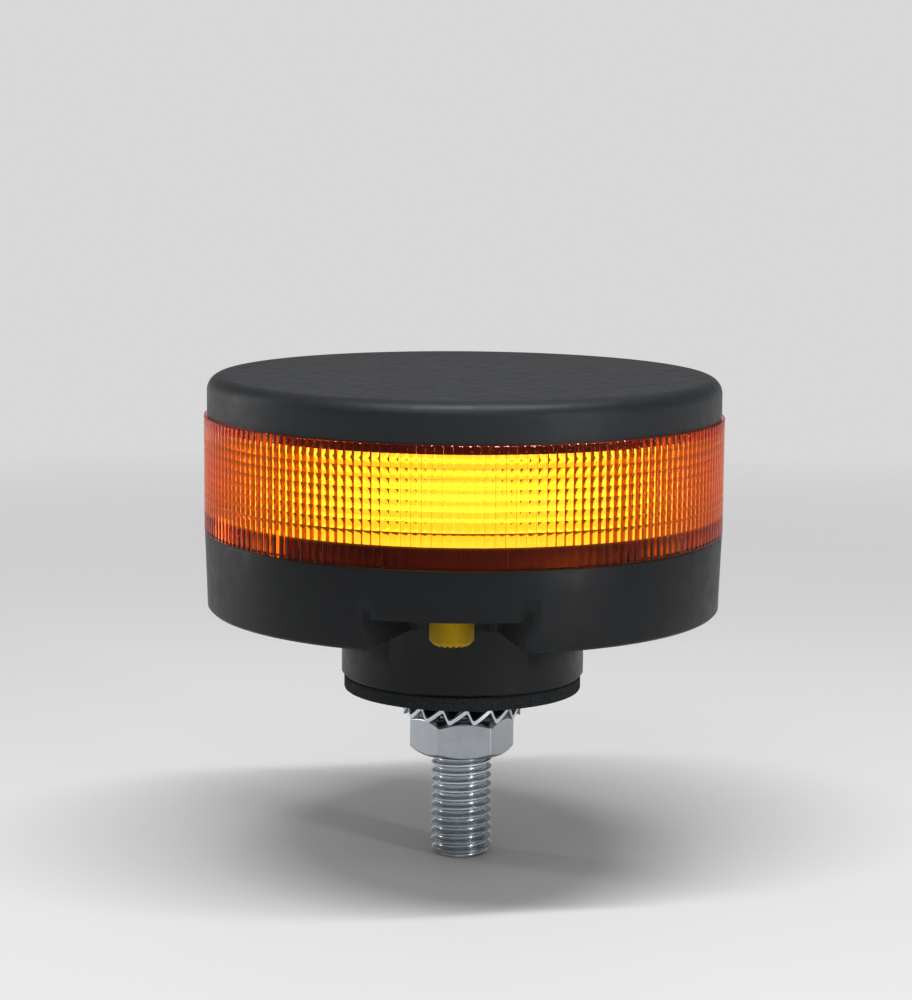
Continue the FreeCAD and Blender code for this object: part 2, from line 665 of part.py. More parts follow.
def led_header():
    """The pin header that feeds the LED boards, in front of the regulator."""
    length = HEADER_PINS * HEADER_PITCH
    strip = block(HEADER_DEPTH, length, HEADER_HEIGHT, Z_DRIVER_TOP, HEADER_OFFSET)
    pins = [block(PIN_SIDE, PIN_SIDE, PIN_LENGTH, Z_DRIVER_TOP, HEADER_OFFSET,
                  (i - (HEADER_PINS - 1) / 2) * HEADER_PITCH) for i in range(HEADER_PINS)]
    return facing(fused([strip] + pins), 180)


# Mounting stud, gasket, washers and nut

def stud_shape(gap):
    """The hexagon screw, grown by a gap where it is to be a cavity."""
    seat = Z_BOSS_FLOOR
    tip = seat - STUD_LENGTH
    radius = STUD_R + gap
    shank = turned([(0, tip - gap), (radius - STUD_TIP_CHAMFER, tip - gap),
                    (radius, tip + STUD_TIP_CHAMFER - gap), (radius, seat + gap), (0, seat + gap)])
    head = hexagon(STUD_HEAD_FLATS + 2 * gap, seat, seat + STUD_HEAD_HEIGHT + gap)
    return fused([shank, head])


def gasket():
    """The foam gasket, printed by the washer's rim on its underside."""
    bore = STUD_R + GASKET_HOLE_GAP
    print_r = WASHER_R + PART_GAP
    rim = BOSS_R - GASKET_INSET
    return turned([
        (bore, WASHER_PRINT), (print_r, WASHER_PRINT), (print_r, 0), (rim - GASKET_BEVEL, 0),
        (rim, GASKET_BEVEL), (rim, GASKET_THICK - GASKET_BEVEL),
        (rim - GASKET_BEVEL, GASKET_THICK), (bore, GASKET_THICK),
    ])


def flat_washer():
    """The plain washer under the gasket."""
    return bevelled_ring(STUD_R + WASHER_HOLE_GAP, WASHER_R, Z_WASHER, WASHER_PRINT, WASHER_BEVEL)


def lock_tooth():
    """One tooth of the lock washer, built towards +X: flat at its root and twisted at its tip."""
    def outline(radius, width, twist):
        c, s = math.cos(twist), math.sin(twist)
        corners = [(-width, -TOOTH_THICK), (width, -TOOTH_THICK), (width, TOOTH_THICK),
                   (-width, TOOTH_THICK)]
        points = [FreeCAD.Vector(radius, (y * c - z * s) / 2, (y * s + z * c) / 2)
                  for y, z in corners]
        return Part.makePolygon(points + points[:1])

    root = outline(TOOTH_ROOT_R - TOOTH_THICK / 2, TOOTH_ROOT_WIDTH, 0.0)
    tip = outline(TOOTH_TIP_R, TOOTH_TIP_WIDTH, math.radians(TOOTH_TWIST))
    return Part.makeLoft([root, tip], True, True)


def tooth_lock_washer():
    """The lock washer, a flat ring with twisted teeth round its rim."""
    half_band = TOOTH_BAND_THICK / 2
    band = ring(STUD_R + WASHER_HOLE_GAP, TOOTH_ROOT_R, -half_band, half_band)
    washer = fused([band] + around(lock_tooth(), TOOTH_COUNT))
    washer.translate(UP * (Z_WASHER - TEETH_HEIGHT / 2))
    return washer


def hex_nut():
    """The nut, chamfered at both ends and countersunk at both mouths of its bore."""
    corner_r = NUT_FLATS / math.sqrt(3)
    face_r = NUT_FLATS / 2 * NUT_FACE_SHARE
    drop = (corner_r - face_r) * math.tan(math.radians(NUT_CHAMFER))
    bore = STUD_R + SLIP_GAP
    envelope = turned([
        (bore + NUT_MOUTH, Z_NUT), (face_r, Z_NUT), (corner_r, Z_NUT + drop),
        (corner_r, Z_NUT_TOP - drop), (face_r, Z_NUT_TOP), (bore + NUT_MOUTH, Z_NUT_TOP),
        (bore, Z_NUT_TOP - NUT_MOUTH), (bore, Z_NUT + NUT_MOUTH),
    ])
    return hexagon(NUT_FLATS, Z_NUT, Z_NUT_TOP).common(envelope)


# Blanking plug

def outlet_plug():
    """The plug in the cable outlet, with a notched grip rim and a grooved stem."""
    shoulder = Z_POCKET - SLIP_GAP
    foot = Z_POCKET - PLUG_DROP
    stem_top = Z_POCKET + PLUG_STEM_LENGTH
    ring_top = Z_POCKET + PLUG_STEM_LENGTH - PLUG_RING_DROP
    ring_bottom = ring_top - PLUG_RING_WIDTH
    groove_r = PLUG_STEM_R - PLUG_RING_DEPTH
    solid = turned([
        (0, foot), (PLUG_R - PLUG_CHAMFER, foot), (PLUG_R, foot + PLUG_CHAMFER),
        (PLUG_R, shoulder), (PLUG_STEM_R, shoulder), (PLUG_STEM_R, ring_bottom),
        (groove_r, ring_bottom), (groove_r, ring_top), (PLUG_STEM_R, ring_top),
        (PLUG_STEM_R, stem_top - PLUG_CHAMFER / 2), (PLUG_STEM_R - PLUG_CHAMFER / 2, stem_top),
        (0, stem_top),
    ])
    slot_length = PLUG_CHAMFER * 2
    slot = block(slot_length, PLUG_SLOT_WIDTH, PLUG_SLOT_DEPTH + SLIP_GAP, foot - SLIP_GAP,
                 PLUG_R - PLUG_CHAMFER)
    solid = solid.cut(Part.makeCompound(around(slot, PLUG_SLOT_COUNT)))
    solid.translate(FreeCAD.Vector(OUTLET_R, 0, 0))
    return facing(solid, POCKET_AZIMUTH)


def plug_ring():
    """The rubber ring that seals the plug's stem."""
    top = Z_POCKET + PLUG_STEM_LENGTH - PLUG_RING_DROP
    bottom = top - PLUG_RING_WIDTH
    solid = bevelled_ring(PLUG_STEM_R - PLUG_RING_DEPTH, PLUG_STEM_R, bottom, top,
                          PLUG_RING_BEVEL)
    solid.translate(FreeCAD.Vector(OUTLET_R, 0, 0))
    return facing(solid, POCKET_AZIMUTH)


def all_parts():
    """Every piece of the beacon by its node's name."""
    parts = {
        "top_cover": top_cover(),
        "cover_seal": seal(Z_COVER),
        "lens_ring": lens_ring(),
        "lens_seal": seal(Z_LENS - SEAL_HEIGHT),
        "base_housing": base_housing(),
        "cover_screws": cover_screws(),
        "led_carrier": led_carrier(),
        "leds": leds(),
        "driver_board": driver_board(),
        "board_screws": board_screws(),
        "input_capacitor": capacitor(INPUT_CAP_R, INPUT_CAP_HEIGHT, 1),
        "output_capacitor": capacitor(OUTPUT_CAP_R, OUTPUT_CAP_HEIGHT, -1),
        "power_coil": power_coil(),
        "controller_chip": controller_chip(),
        "current_regulator": regulator(),
        "supply_terminal": supply_terminal(),
        "led_header": led_header(),
        "mounting_stud": stud_shape(0),
        "mounting_gasket": gasket(),
        "flat_washer": flat_washer(),
        "tooth_lock_washer": tooth_lock_washer(),
        "hex_nut": hex_nut(),
        "outlet_plug": outlet_plug(),
        "plug_seal_ring": plug_ring(),
    }
    for i, board in enumerate(around(led_board(), FACET_COUNT), start=1):
        parts[f"led_board_{i:02d}"] = board
    return parts


os.makedirs("parts", exist_ok=True)
for node, shape in all_parts().items():
    shape.exportStep(f"parts/{node}.step")
    print(f"{node}: {len(shape.Solids)} solids, {shape.Volume:.1f} mm3, valid {shape.isValid()}")
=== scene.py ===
import logging
import math
from dataclasses import dataclass
from enum import Enum
from typing import Callable, Sequence

import bmesh
import bpy
from mathutils import Matrix, Vector, noise


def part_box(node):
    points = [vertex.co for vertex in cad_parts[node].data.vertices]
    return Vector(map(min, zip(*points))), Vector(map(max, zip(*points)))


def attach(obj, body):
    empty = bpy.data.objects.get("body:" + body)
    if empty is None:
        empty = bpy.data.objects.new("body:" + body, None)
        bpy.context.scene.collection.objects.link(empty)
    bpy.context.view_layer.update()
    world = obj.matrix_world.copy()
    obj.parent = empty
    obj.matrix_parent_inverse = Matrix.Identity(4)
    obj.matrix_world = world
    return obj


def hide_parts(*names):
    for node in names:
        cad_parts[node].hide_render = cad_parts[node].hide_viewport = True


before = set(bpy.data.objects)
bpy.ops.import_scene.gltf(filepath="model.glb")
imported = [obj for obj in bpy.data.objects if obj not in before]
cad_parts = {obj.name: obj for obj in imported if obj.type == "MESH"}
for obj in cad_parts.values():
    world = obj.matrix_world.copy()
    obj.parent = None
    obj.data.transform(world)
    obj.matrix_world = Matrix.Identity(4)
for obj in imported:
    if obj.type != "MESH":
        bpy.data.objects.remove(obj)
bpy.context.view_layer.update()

# The classes that make pieces hold sizes in mm, angles in radians and the limit of a sharp edge in
# degrees.
MM = 0.001
FULL_TURN = 2 * math.pi
FRONT = -math.pi / 2  # the angle from +X of the side that faces the camera

# Corners nearer than these, in metres, become one.
WELD = 1e-7
NODE_WELD = 1e-6
BEVEL_WELD = 0.004 * MM

LEVEL = math.radians(0.5)  # faces that meet at less than this are one flat face

LOG = logging.getLogger("beacon")

Colour = tuple[float, float, float]
Profile = list[tuple[float, float]]  # (radius, height) in mm


class Body(Enum):
    """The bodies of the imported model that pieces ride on."""

    ROOT = "root"
    WASHERS = "washers"
    NUT = "nut"
    PLUG = "plug"


# ---------------------------------------------------------------- material nodes

class NodeBench:
    """One material's node tree, with short calls for what the finishes share."""

    def __init__(self, name: str) -> None:
        """Starts a material whose surface is one Principled shader.

        Args:
            name: the material's name.
        """
        self.material = bpy.data.materials.new(name)
        self.material.use_nodes = True
        self.tree = self.material.node_tree
        self.tree.nodes.clear()
        self.output = self.add("ShaderNodeOutputMaterial")
        self.shader = self.add("ShaderNodeBsdfPrincipled")
        self.link(self.shader.outputs["BSDF"], self.output.inputs["Surface"])
        self.place = self.add("ShaderNodeTexCoord").outputs["Object"]

    def add(self, kind: str) -> bpy.types.Node:
        """Adds a node of a kind."""
        return self.tree.nodes.new(kind)

    def link(self, source: bpy.types.NodeSocket, target: bpy.types.NodeSocket) -> None:
        """Joins two sockets."""
        self.tree.links.new(source, target)

    def set(self, **values: float | Sequence[float]) -> None:
        """Sets the shader's own sockets, named with underscores for spaces."""
        for name, value in values.items():
            self.shader.inputs[name.replace("_", " ")].default_value = value

    def feed(self, name: str, source: bpy.types.NodeSocket) -> None:
        """Feeds one of the shader's sockets."""
        self.link(source, self.shader.inputs[name])

    def height(self) -> bpy.types.NodeSocket:
        """The height in the piece's own coordinates, in metres.

        Returns:
            The height's socket.
        """
        parts = self.add("ShaderNodeSeparateXYZ")
        self.link(self.place, parts.inputs["Vector"])
        return parts.outputs["Z"]

    def calculate(self, operation: str, *operands: float | bpy.types.NodeSocket
                  ) -> bpy.types.NodeSocket:
        """A sum on numbers or sockets.

        Args:
            operation: the sum's name in Blender.
            operands: its numbers or sockets, in order.

        Returns:
            The result's socket.
        """
        return math_node(self.tree, operation, *operands)

    def stretched(self, scale: Sequence[float]) -> bpy.types.NodeSocket:
        """The piece's own coordinates, stretched.

        Args:
            scale: the stretch along each axis.

        Returns:
            The stretched coordinates.
        """
        mapping = self.add("ShaderNodeMapping")
        mapping.inputs["Scale"].default_value = scale
        self.link(self.place, mapping.inputs["Vector"])
        return mapping.outputs["Vector"]

    def noise(self, scale: float, detail: float = 3.0,
              place: bpy.types.NodeSocket | None = None) -> bpy.types.NodeSocket:
        """Soft noise.

        Args:
            scale: cells to the metre.
            detail: octaves of finer noise.
            place: the coordinates, or None for the piece's own.

        Returns:
            The noise, mostly between 0.3 and 0.7.
        """
        node = self.add("ShaderNodeTexNoise")
        node.inputs["Scale"].default_value = scale
        node.inputs["Detail"].default_value = detail
        self.link(place or self.place, node.inputs["Vector"])
        return node.outputs["Fac"]

    def cloudy(self, scale: float, low: float, high: float, detail: float = 3.0,
               span: tuple[float, float] = (0.3, 0.7)) -> bpy.types.NodeSocket:
        """Soft noise spread over a range of values.

        Args:
            scale: cells to the metre.
            low: the value where the noise is weakest.
            high: the value where it is strongest.
            detail: octaves of finer noise.
            span: the part of the noise's own range that is spread.

        Returns:
            The spread noise.
        """
        return self.remap(self.noise(scale, detail), *span, low, high)

    def cells(self, scale: float) -> bpy.types.NodeSocket:
        """The distance to the nearest of a number of scattered points.

        Args:
            scale: points to the metre.

        Returns:
            The distance's socket.
        """
        node = self.add("ShaderNodeTexVoronoi")
        node.inputs["Scale"].default_value = scale
        self.link(self.place, node.inputs["Vector"])
        return node.outputs["Distance"]

    def remap(self, value: bpy.types.NodeSocket, low: float, high: float,
              to_low: float, to_high: float) -> bpy.types.NodeSocket:
        """Maps a range of a value to another range, clamped at both ends.

        Args:
            value: the socket whose value is mapped.
            low: the range's lower end.
            high: the range's upper end.
            to_low: what the lower end becomes.
            to_high: what the upper end becomes.

        Returns:
            The mapped value.
        """
        node = self.add("ShaderNodeMapRange")
        self.link(value, node.inputs["Value"])
        for name, number in (("From Min", low), ("From Max", high), ("To Min", to_low),
                             ("To Max", to_high)):
            node.inputs[name].default_value = number
        return node.outputs["Result"]

    def blend(self, share: bpy.types.NodeSocket, first: Colour, second: Colour
              ) -> bpy.types.NodeSocket:
        """A colour between two.

        Args:
            share: 0 for the first colour, 1 for the second.
            first: the first colour.
            second: the second colour.

        Returns:
            The colour's socket.
        """
        node = self.add("ShaderNodeMix")
        node.data_type = "RGBA"
        self.link(share, node.inputs["Factor"])
        node.inputs["A"].default_value = (*first, 1.0)
        node.inputs["B"].default_value = (*second, 1.0)
        return node.outputs["Result"]

    def mixed(self, share: bpy.types.NodeSocket, first: bpy.types.NodeSocket,
              second: bpy.types.NodeSocket) -> None:
        """Makes the surface a mix of two shaders.

        Args:
            share: 0 for the first shader, 1 for the second.
            first: the first shader.
            second: the second shader.
        """
        either = self.add("ShaderNodeMixShader")
        self.link(share, either.inputs["Fac"])
        self.link(first, either.inputs[1])
        self.link(second, either.inputs[2])
        self.link(either.outputs["Shader"], self.output.inputs["Surface"])

    def bump(self, height: bpy.types.NodeSocket, depth: float, strength: float = 1.0,
             under: bpy.types.NodeSocket | None = None) -> bpy.types.NodeSocket:
        """A normal that stands up where a height is 1.

        Args:
            height: the height, from 0 to 1.
            depth: how far 1 stands over 0, in metres.
            strength: how much of the bump is kept.
            under: a normal that the bump is laid over.

        Returns:
            The normal's socket.
        """
        node = self.add("ShaderNodeBump")
        node.inputs["Distance"].default_value = depth
        node.inputs["Strength"].default_value = strength
        self.link(height, node.inputs["Height"])
        if under is not None:
            self.link(under, node.inputs["Normal"])
        return node.outputs["Normal"]


def math_node(tree: bpy.types.NodeTree, operation: str,
              *operands: float | bpy.types.NodeSocket) -> bpy.types.NodeSocket:
    """Adds a sum on numbers or sockets to a node tree.

    Args:
        tree: the tree.
        operation: the sum's name in Blender.
        operands: its numbers or sockets, in order.

    Returns:
        The result's socket.
    """
    node = tree.nodes.new("ShaderNodeMath")
    node.operation = operation
    for socket, operand in zip(node.inputs, operands):
        if isinstance(operand, bpy.types.NodeSocket):
            tree.links.new(operand, socket)
        else:
            socket.default_value = operand
    return node.outputs["Value"]


def scaled(colour: Colour, share: float) -> Colour:
    """A colour made darker or lighter."""
    return tuple(min(1.0, channel * share) for channel in colour)


@dataclass(frozen=True)
class MouldedPlastic:
    """Satin plastic with the fine spark-eroded grain of its mould."""

    name: str
    colour: Colour
    roughness: float = 0.44
    gloss: float = 0.35
    grain: float = 2600.0
    grain_depth: float = 0.012 * MM
    flow_marks: float = 55.0
    darkest: float = 0.86
    palest: float = 1.16
    wear_marks: float = 380.0
    polished: float = 0.04
    dulled: float = 0.05
    sinks: float = 90.0
    sink_depth: float = 0.02 * MM
    sink_strength: float = 0.6

    def make(self) -> bpy.types.Material:
        """Builds the material.

        Returns:
            The material.
        """
        bench = NodeBench(self.name)
        flow = bench.cloudy(self.flow_marks, 0.0, 1.0, detail=4.0)
        bench.feed("Base Color", bench.blend(
            flow, scaled(self.colour, self.darkest), scaled(self.colour, self.palest)))
        bench.feed("Roughness", bench.cloudy(
            self.wear_marks, self.roughness - self.polished, self.roughness + self.dulled))
        bench.set(Specular_IOR_Level=self.gloss)
        grain = bench.bump(bench.noise(self.grain, detail=2.0), self.grain_depth)
        bench.feed("Normal", bench.bump(bench.noise(self.sinks, detail=1.0), self.sink_depth,
                                        self.sink_strength, grain))
        return bench.material


@dataclass(frozen=True)
class AmberGlass:
    """Clear amber polycarbonate, darker where light takes a longer way through it, with a painted
    glow over the middle of its height that stands in for the LEDs' light scattered in it.
    """

    name: str
    index: float
    # The band of the painted glow, in metres.
    painted_glow_from: float
    painted_glow_to: float
    tint: Colour = (1.0, 0.72, 0.25)
    absorbed: Colour = (0.96, 0.705, 0.0)
    density: float = 1150.0
    gloss_tint: Colour = (0.62, 0.12, 0.07)
    # Painted light: the colour and strength of the glow painted on the glass.
    glow: Colour = (1.0, 0.45, 0.0)
    painted_glow_strength: float = 0.085
    painted_glow_fade: float = 0.5 * MM
    roughness: float = 0.02
    roughest: float = 0.05
    haze_marks: float = 260.0
    haze_span: tuple[float, float] = (0.35, 0.7)
    waves: float = 150.0
    wave_depth: float = 0.006 * MM

    def make(self) -> bpy.types.Material:
        """Builds the material; lamps' rays pass it tinted, so that what is inside is lit.

        Returns:
            The material.
        """
        bench = NodeBench(self.name)
        bench.set(Base_Color=(*self.tint, 1.0), Transmission_Weight=1.0, IOR=self.index,
                  Specular_Tint=(*self.gloss_tint, 1.0), Emission_Color=(*self.glow, 1.0))
        # Painted light: the surface glows in a band between the spigots. This painted glow stands
        # in for the LEDs' light scattered in the lens.
        height = bench.height()
        rising = bench.remap(height, self.painted_glow_from - self.painted_glow_fade, self.painted_glow_from,
                             0.0, self.painted_glow_strength)
        falling = bench.remap(height, self.painted_glow_to, self.painted_glow_to + self.painted_glow_fade, 1.0, 0.0)
        bench.feed("Emission Strength", bench.calculate("MULTIPLY", rising, falling))
        bench.material.cycles.emission_sampling = "NONE"
        bench.feed("Roughness", bench.cloudy(self.haze_marks, self.roughness, self.roughest,
                                             span=self.haze_span))
        bench.feed("Normal", bench.bump(bench.noise(self.waves, detail=1.0), self.wave_depth))
        clear = bench.add("ShaderNodeBsdfTransparent")
        clear.inputs["Color"].default_value = (*(math.sqrt(c) for c in self.tint), 1.0)
        path = bench.add("ShaderNodeLightPath")
        bench.mixed(path.outputs["Is Shadow Ray"], bench.shader.outputs["BSDF"],
                    clear.outputs["BSDF"])
        volume = bench.add("ShaderNodeVolumeAbsorption")
        volume.inputs["Color"].default_value = (*self.absorbed, 1.0)
        volume.inputs["Density"].default_value = self.density
        bench.link(volume.outputs["Volume"], bench.output.inputs["Volume"])
        return bench.material


@dataclass(frozen=True)
class Rubber:
    """Matt black rubber with a faint bloom."""

    name: str
    colour: Colour = (0.022, 0.022, 0.023)
    palest: float = 2.2
    bloom_marks: float = 220.0
    grain: float = 1800.0
    grain_depth: float = 0.015 * MM

    def make(self) -> bpy.types.Material:
        """Builds the material.

        Returns:
            The material.
        """
        bench = NodeBench(self.name)
        bench.feed("Base Color", bench.blend(bench.noise(self.bloom_marks, detail=4.0),
                                             self.colour, scaled(self.colour, self.palest)))
        bench.set(Roughness=0.72, Specular_IOR_Level=0.3)
        bench.feed("Normal", bench.bump(bench.noise(self.grain, detail=2.0), self.grain_depth))
        return bench.material


@dataclass(frozen=True)
class CellFoam:
    """Dark closed-cell foam, whose cut cells show as small pits with paler walls; the pits are
    painted darker, as painted shade.
    """

    name: str
    colour: Colour = (0.014, 0.016, 0.018)
    darkest: float = 0.6
    palest: float = 1.8
    large_cells: float = 2600.0
    large_depth: float = 0.10 * MM
    small_cells: float = 5200.0
    small_depth: float = 0.05 * MM
    painted_pit_shade_span: tuple[float, float] = (0.15, 0.75)

    def make(self) -> bpy.types.Material:
        """Builds the material.

        Returns:
            The material.
        """
        bench = NodeBench(self.name)
        large, small = bench.cells(self.large_cells), bench.cells(self.small_cells)
        # Painted shade: the colour darkens towards each cell's middle, where the bump sinks the
        # pit.
        bench.feed("Base Color", bench.blend(
            bench.remap(large, *self.painted_pit_shade_span, 0.0, 1.0), scaled(self.colour, self.darkest),
            scaled(self.colour, self.palest)))
        bench.set(Roughness=0.85, Specular_IOR_Level=0.15)
        pits = bench.bump(large, self.large_depth, strength=0.9)
        bench.feed("Normal", bench.bump(small, self.small_depth, strength=0.8, under=pits))
        return bench.material


@dataclass(frozen=True)
class PlatedSteel:
    """Bright zinc on steel, with the plating's slight bloom and the tool's fine lines."""

    name: str
    # Painted shade: this default, used for the nut and the plain washer, is darker than the
    # thread's and the teeth's copies of the same zinc plate.
    colour: Colour = (0.36, 0.385, 0.41)
    roughness: float = 0.20
    lines: Sequence[float] = (1.0, 1.0, 9.0)
    line_marks: float = 900.0
    line_depth: float = 0.003 * MM
    darkest: float = 0.92
    bloom_marks: float = 240.0
    bloom_span: tuple[float, float] = (0.38, 0.66)
    wear_marks: float = 600.0
    polished: float = 0.04
    dulled: float = 0.06
    dents: float = 420.0
    dent_depth: float = 0.004 * MM
    dent_strength: float = 0.7

    def make(self) -> bpy.types.Material:
        """Builds the material.

        Returns:
            The material.
        """
        bench = NodeBench(self.name)
        bench.set(Metallic=1.0)
        bloom = bench.cloudy(self.bloom_marks, 0.0, 1.0, detail=5.0, span=self.bloom_span)
        bench.feed("Base Color", bench.blend(
            bloom, self.colour, scaled(self.colour, self.darkest)))
        bench.feed("Roughness", bench.cloudy(
            self.wear_marks, self.roughness - self.polished, self.roughness + self.dulled,
            detail=4.0))
        drawn = bench.noise(self.line_marks, detail=4.0, place=bench.stretched(self.lines))
        fine = bench.bump(drawn, self.line_depth)
        bench.feed("Normal", bench.bump(bench.noise(self.dents), self.dent_depth,
                                        self.dent_strength, fine))
        return bench.material


@dataclass(frozen=True)
class CastMetal:
    """Cast or drawn aluminium, matt, with a faint mottling."""

    name: str
    colour: Colour
    roughness: float = 0.38
    darkest: float = 0.8
    mottling: float = 180.0
    wear_marks: float = 500.0
    polished: float = 0.06
    dulled: float = 0.1
    grain: float = 1300.0
    grain_depth: float = 0.02 * MM

    def make(self) -> bpy.types.Material:
        """Builds the material.

        Returns:
            The material.
        """
        bench = NodeBench(self.name)
        bench.set(Metallic=1.0)
        bench.feed("Base Color", bench.blend(bench.noise(self.mottling, detail=4.0),
                                             self.colour, scaled(self.colour, self.darkest)))
        bench.feed("Roughness", bench.cloudy(
            self.wear_marks, self.roughness - self.polished, self.roughness + self.dulled))
        bench.feed("Normal", bench.bump(bench.noise(self.grain), self.grain_depth))
        return bench.material


@dataclass(frozen=True)
class CircuitBoard:
    """Solder mask over copper tracks, which show as slightly raised lines."""

    name: str
    mask: Colour
    track: Colour
    track_grid: float = 220.0
    track_width: float = 0.06
    track_span: tuple[float, float] = (0.2, 0.8)
    track_height: float = 0.03 * MM

    def make(self) -> bpy.types.Material:
        """Builds the material.

        Returns:
            The material.
        """
        bench = NodeBench(self.name)
        copper = bench.add("ShaderNodeTexBrick")
        copper.inputs["Scale"].default_value = self.track_grid
        copper.inputs["Mortar Size"].default_value = self.track_width
        bench.link(bench.place, copper.inputs["Vector"])
        lines = bench.remap(copper.outputs["Fac"], *self.track_span, 0.0, 1.0)
        bench.feed("Base Color", bench.blend(lines, self.mask, self.track))
        bench.set(Roughness=0.34)
        bench.feed("Normal", bench.bump(lines, self.track_height))
        return bench.material


@dataclass(frozen=True)
class PaintedGlowBoard:
    """White solder mask with a painted glow in a band at the LEDs' height, standing in for their
    light washing over it.
    """

    name: str
    mask: Colour
    glow: Colour
    height: float
    band: float
    strength: float
    edge_share: float
    core_share: float = 0.45
    darkest: float = 0.9
    mottling: float = 500.0

    def make(self) -> bpy.types.Material:
        """Builds the material.

        Returns:
            The material.
        """
        bench = NodeBench(self.name)
        bench.feed("Base Color", bench.blend(bench.noise(self.mottling, detail=2.0), self.mask,
                                             scaled(self.mask, self.darkest)))
        # Painted light: the mask glows in the LEDs' colour, strongest in a band at their height,
        # standing in for their light falling on it.
        bench.set(Roughness=0.4, Emission_Color=(*self.glow, 1.0))
        offset = bench.calculate("SUBTRACT", bench.height(), self.height)
        reach = bench.calculate("ABSOLUTE", offset)
        bench.feed("Emission Strength", bench.remap(
            reach, self.band * self.core_share, self.band, self.strength,
            self.strength * self.edge_share))
        return bench.material


@dataclass(frozen=True)
class LitPhosphor:
    """The lit face of an LED."""

    name: str
    colour: Colour
    strength: float
    phosphor: Colour = (0.9, 0.62, 0.12)
    palest: Colour = (0.95, 0.70, 0.20)
    grain: float = 2500.0

    def make(self) -> bpy.types.Material:
        """Builds the material.

        Returns:
            The material.
        """
        bench = NodeBench(self.name)
        bench.feed("Base Color", bench.blend(bench.noise(self.grain, detail=2.0),
                                             self.phosphor, self.palest))
        bench.set(Roughness=0.35, Emission_Color=(*self.colour, 1.0),
                  Emission_Strength=self.strength)
        return bench.material


@dataclass(frozen=True)
class MattBlock:
    """Ferrite, chip resin and other plain moulded bodies."""

    name: str
    colour: Colour
    roughness: float = 0.6
    palest: float = 1.4
    mottling: float = 700.0
    grain: float = 2200.0
    grain_depth: float = 0.02 * MM

    def make(self) -> bpy.types.Material:
        """Builds the material.

        Returns:
            The material.
        """
        bench = NodeBench(self.name)
        bench.feed("Base Color", bench.blend(
            bench.noise(self.mottling), self.colour, scaled(self.colour, self.palest)))
        bench.set(Roughness=self.roughness)
        bench.feed("Normal", bench.bump(bench.noise(self.grain), self.grain_depth))
        return bench.material


@dataclass(frozen=True)
class FloorPaint:
    """Plain pale paint, clear towards the floor's edge, so that it has no rim."""

    name: str
    colour: Colour
    clear_from: float
    clear_to: float
    darkest: float = 0.98
    mottling: float = 6.0

    def make(self) -> bpy.types.Material:
        """Builds the material.

        Returns:
            The material.
        """
        bench = NodeBench(self.name)
        bench.feed("Base Color", bench.blend(bench.noise(self.mottling, detail=2.0),
                                             self.colour, scaled(self.colour, self.darkest)))
        bench.set(Roughness=0.5, Specular_IOR_Level=0.3)
        reach = bench.add("ShaderNodeVectorMath")
        reach.operation = "LENGTH"
        bench.link(bench.place, reach.inputs[0])
        clear = bench.add("ShaderNodeBsdfTransparent")
        share = bench.remap(reach.outputs["Value"], self.clear_from, self.clear_to, 0.0, 1.0)
        bench.mixed(share, bench.shader.outputs["BSDF"], clear.outputs["BSDF"])
        return bench.material


# ---------------------------------------------------------------- meshes

def plain_mesh(draft: bmesh.types.BMesh, name: str) -> bpy.types.Mesh:
    """Writes a draft out as a mesh.

    Args:
        draft: the mesh in the making, which is freed.
        name: the mesh's name.

    Returns:
        The mesh.
    """
    mesh = bpy.data.meshes.new(name)
    draft.to_mesh(mesh)
    draft.free()
    return mesh


def drafted(*meshes: bpy.types.Mesh) -> bmesh.types.BMesh:
    """A draft that holds some meshes.

    Args:
        meshes: the meshes, which stay as they are.

    Returns:
        The draft.
    """
    draft = bmesh.new()
    for mesh in meshes:
        draft.from_mesh(mesh)
    return draft


def joined(name: str, *meshes: bpy.types.Mesh) -> bpy.types.Mesh:
    """Several meshes as one."""
    return plain_mesh(drafted(*meshes), name)


def merged(name: str, mesh: bpy.types.Mesh, reach: float) -> bpy.types.Mesh:
    """A copy of a mesh in which corners that lie near each other are one.

    Args:
        name: the copy's name.
        mesh: the mesh, which stays as it is.
        reach: how near, in metres.

    Returns:
        The copy.
    """
    draft = drafted(mesh)
    bmesh.ops.remove_doubles(draft, verts=draft.verts, dist=reach)
    return plain_mesh(draft, name)


def bridged(draft: bmesh.types.BMesh, first: Sequence[bmesh.types.BMVert],
            second: Sequence[bmesh.types.BMVert], closed: bool = False) -> None:
    """Joins two rows of corners with a strip of faces, each wound from the first row over.

    Args:
        draft: the mesh in the making.
        first: one row.
        second: the other row, with as many corners.
        closed: whether the strip goes on from the last corners to the first.
    """
    count = len(first)
    for i in range(count if closed else count - 1):
        j = (i + 1) % count
        draft.faces.new((first[i], second[i], second[j], first[j]))


def spun(columns: Sequence[Sequence[Vector]], name: str, closed: bool = True) -> bpy.types.Mesh:
    """A shell through neighbouring columns of points, the last of which lies on the first.

    Args:
        columns: the points of each section, equally many in each.
        name: the mesh's name.
        closed: whether each section closes on itself. If not, its ends lie on the axis.

    Returns:
        The closed shell, with outward faces.
    """
    draft = bmesh.new()
    grid = [[draft.verts.new(point) for point in column] for column in columns]
    for left, right in zip(grid, grid[1:]):
        bridged(draft, left, right, closed)
    bmesh.ops.remove_doubles(draft, verts=draft.verts, dist=WELD)
    bmesh.ops.dissolve_degenerate(draft, edges=draft.edges, dist=WELD)
    bmesh.ops.recalc_face_normals(draft, faces=draft.faces)
    return plain_mesh(draft, name)


def polar(radius: float, angle: float, height: float) -> Vector:
    """A point at a radius, an angle from +X and a height."""
    return Vector((radius * math.cos(angle), radius * math.sin(angle), height))


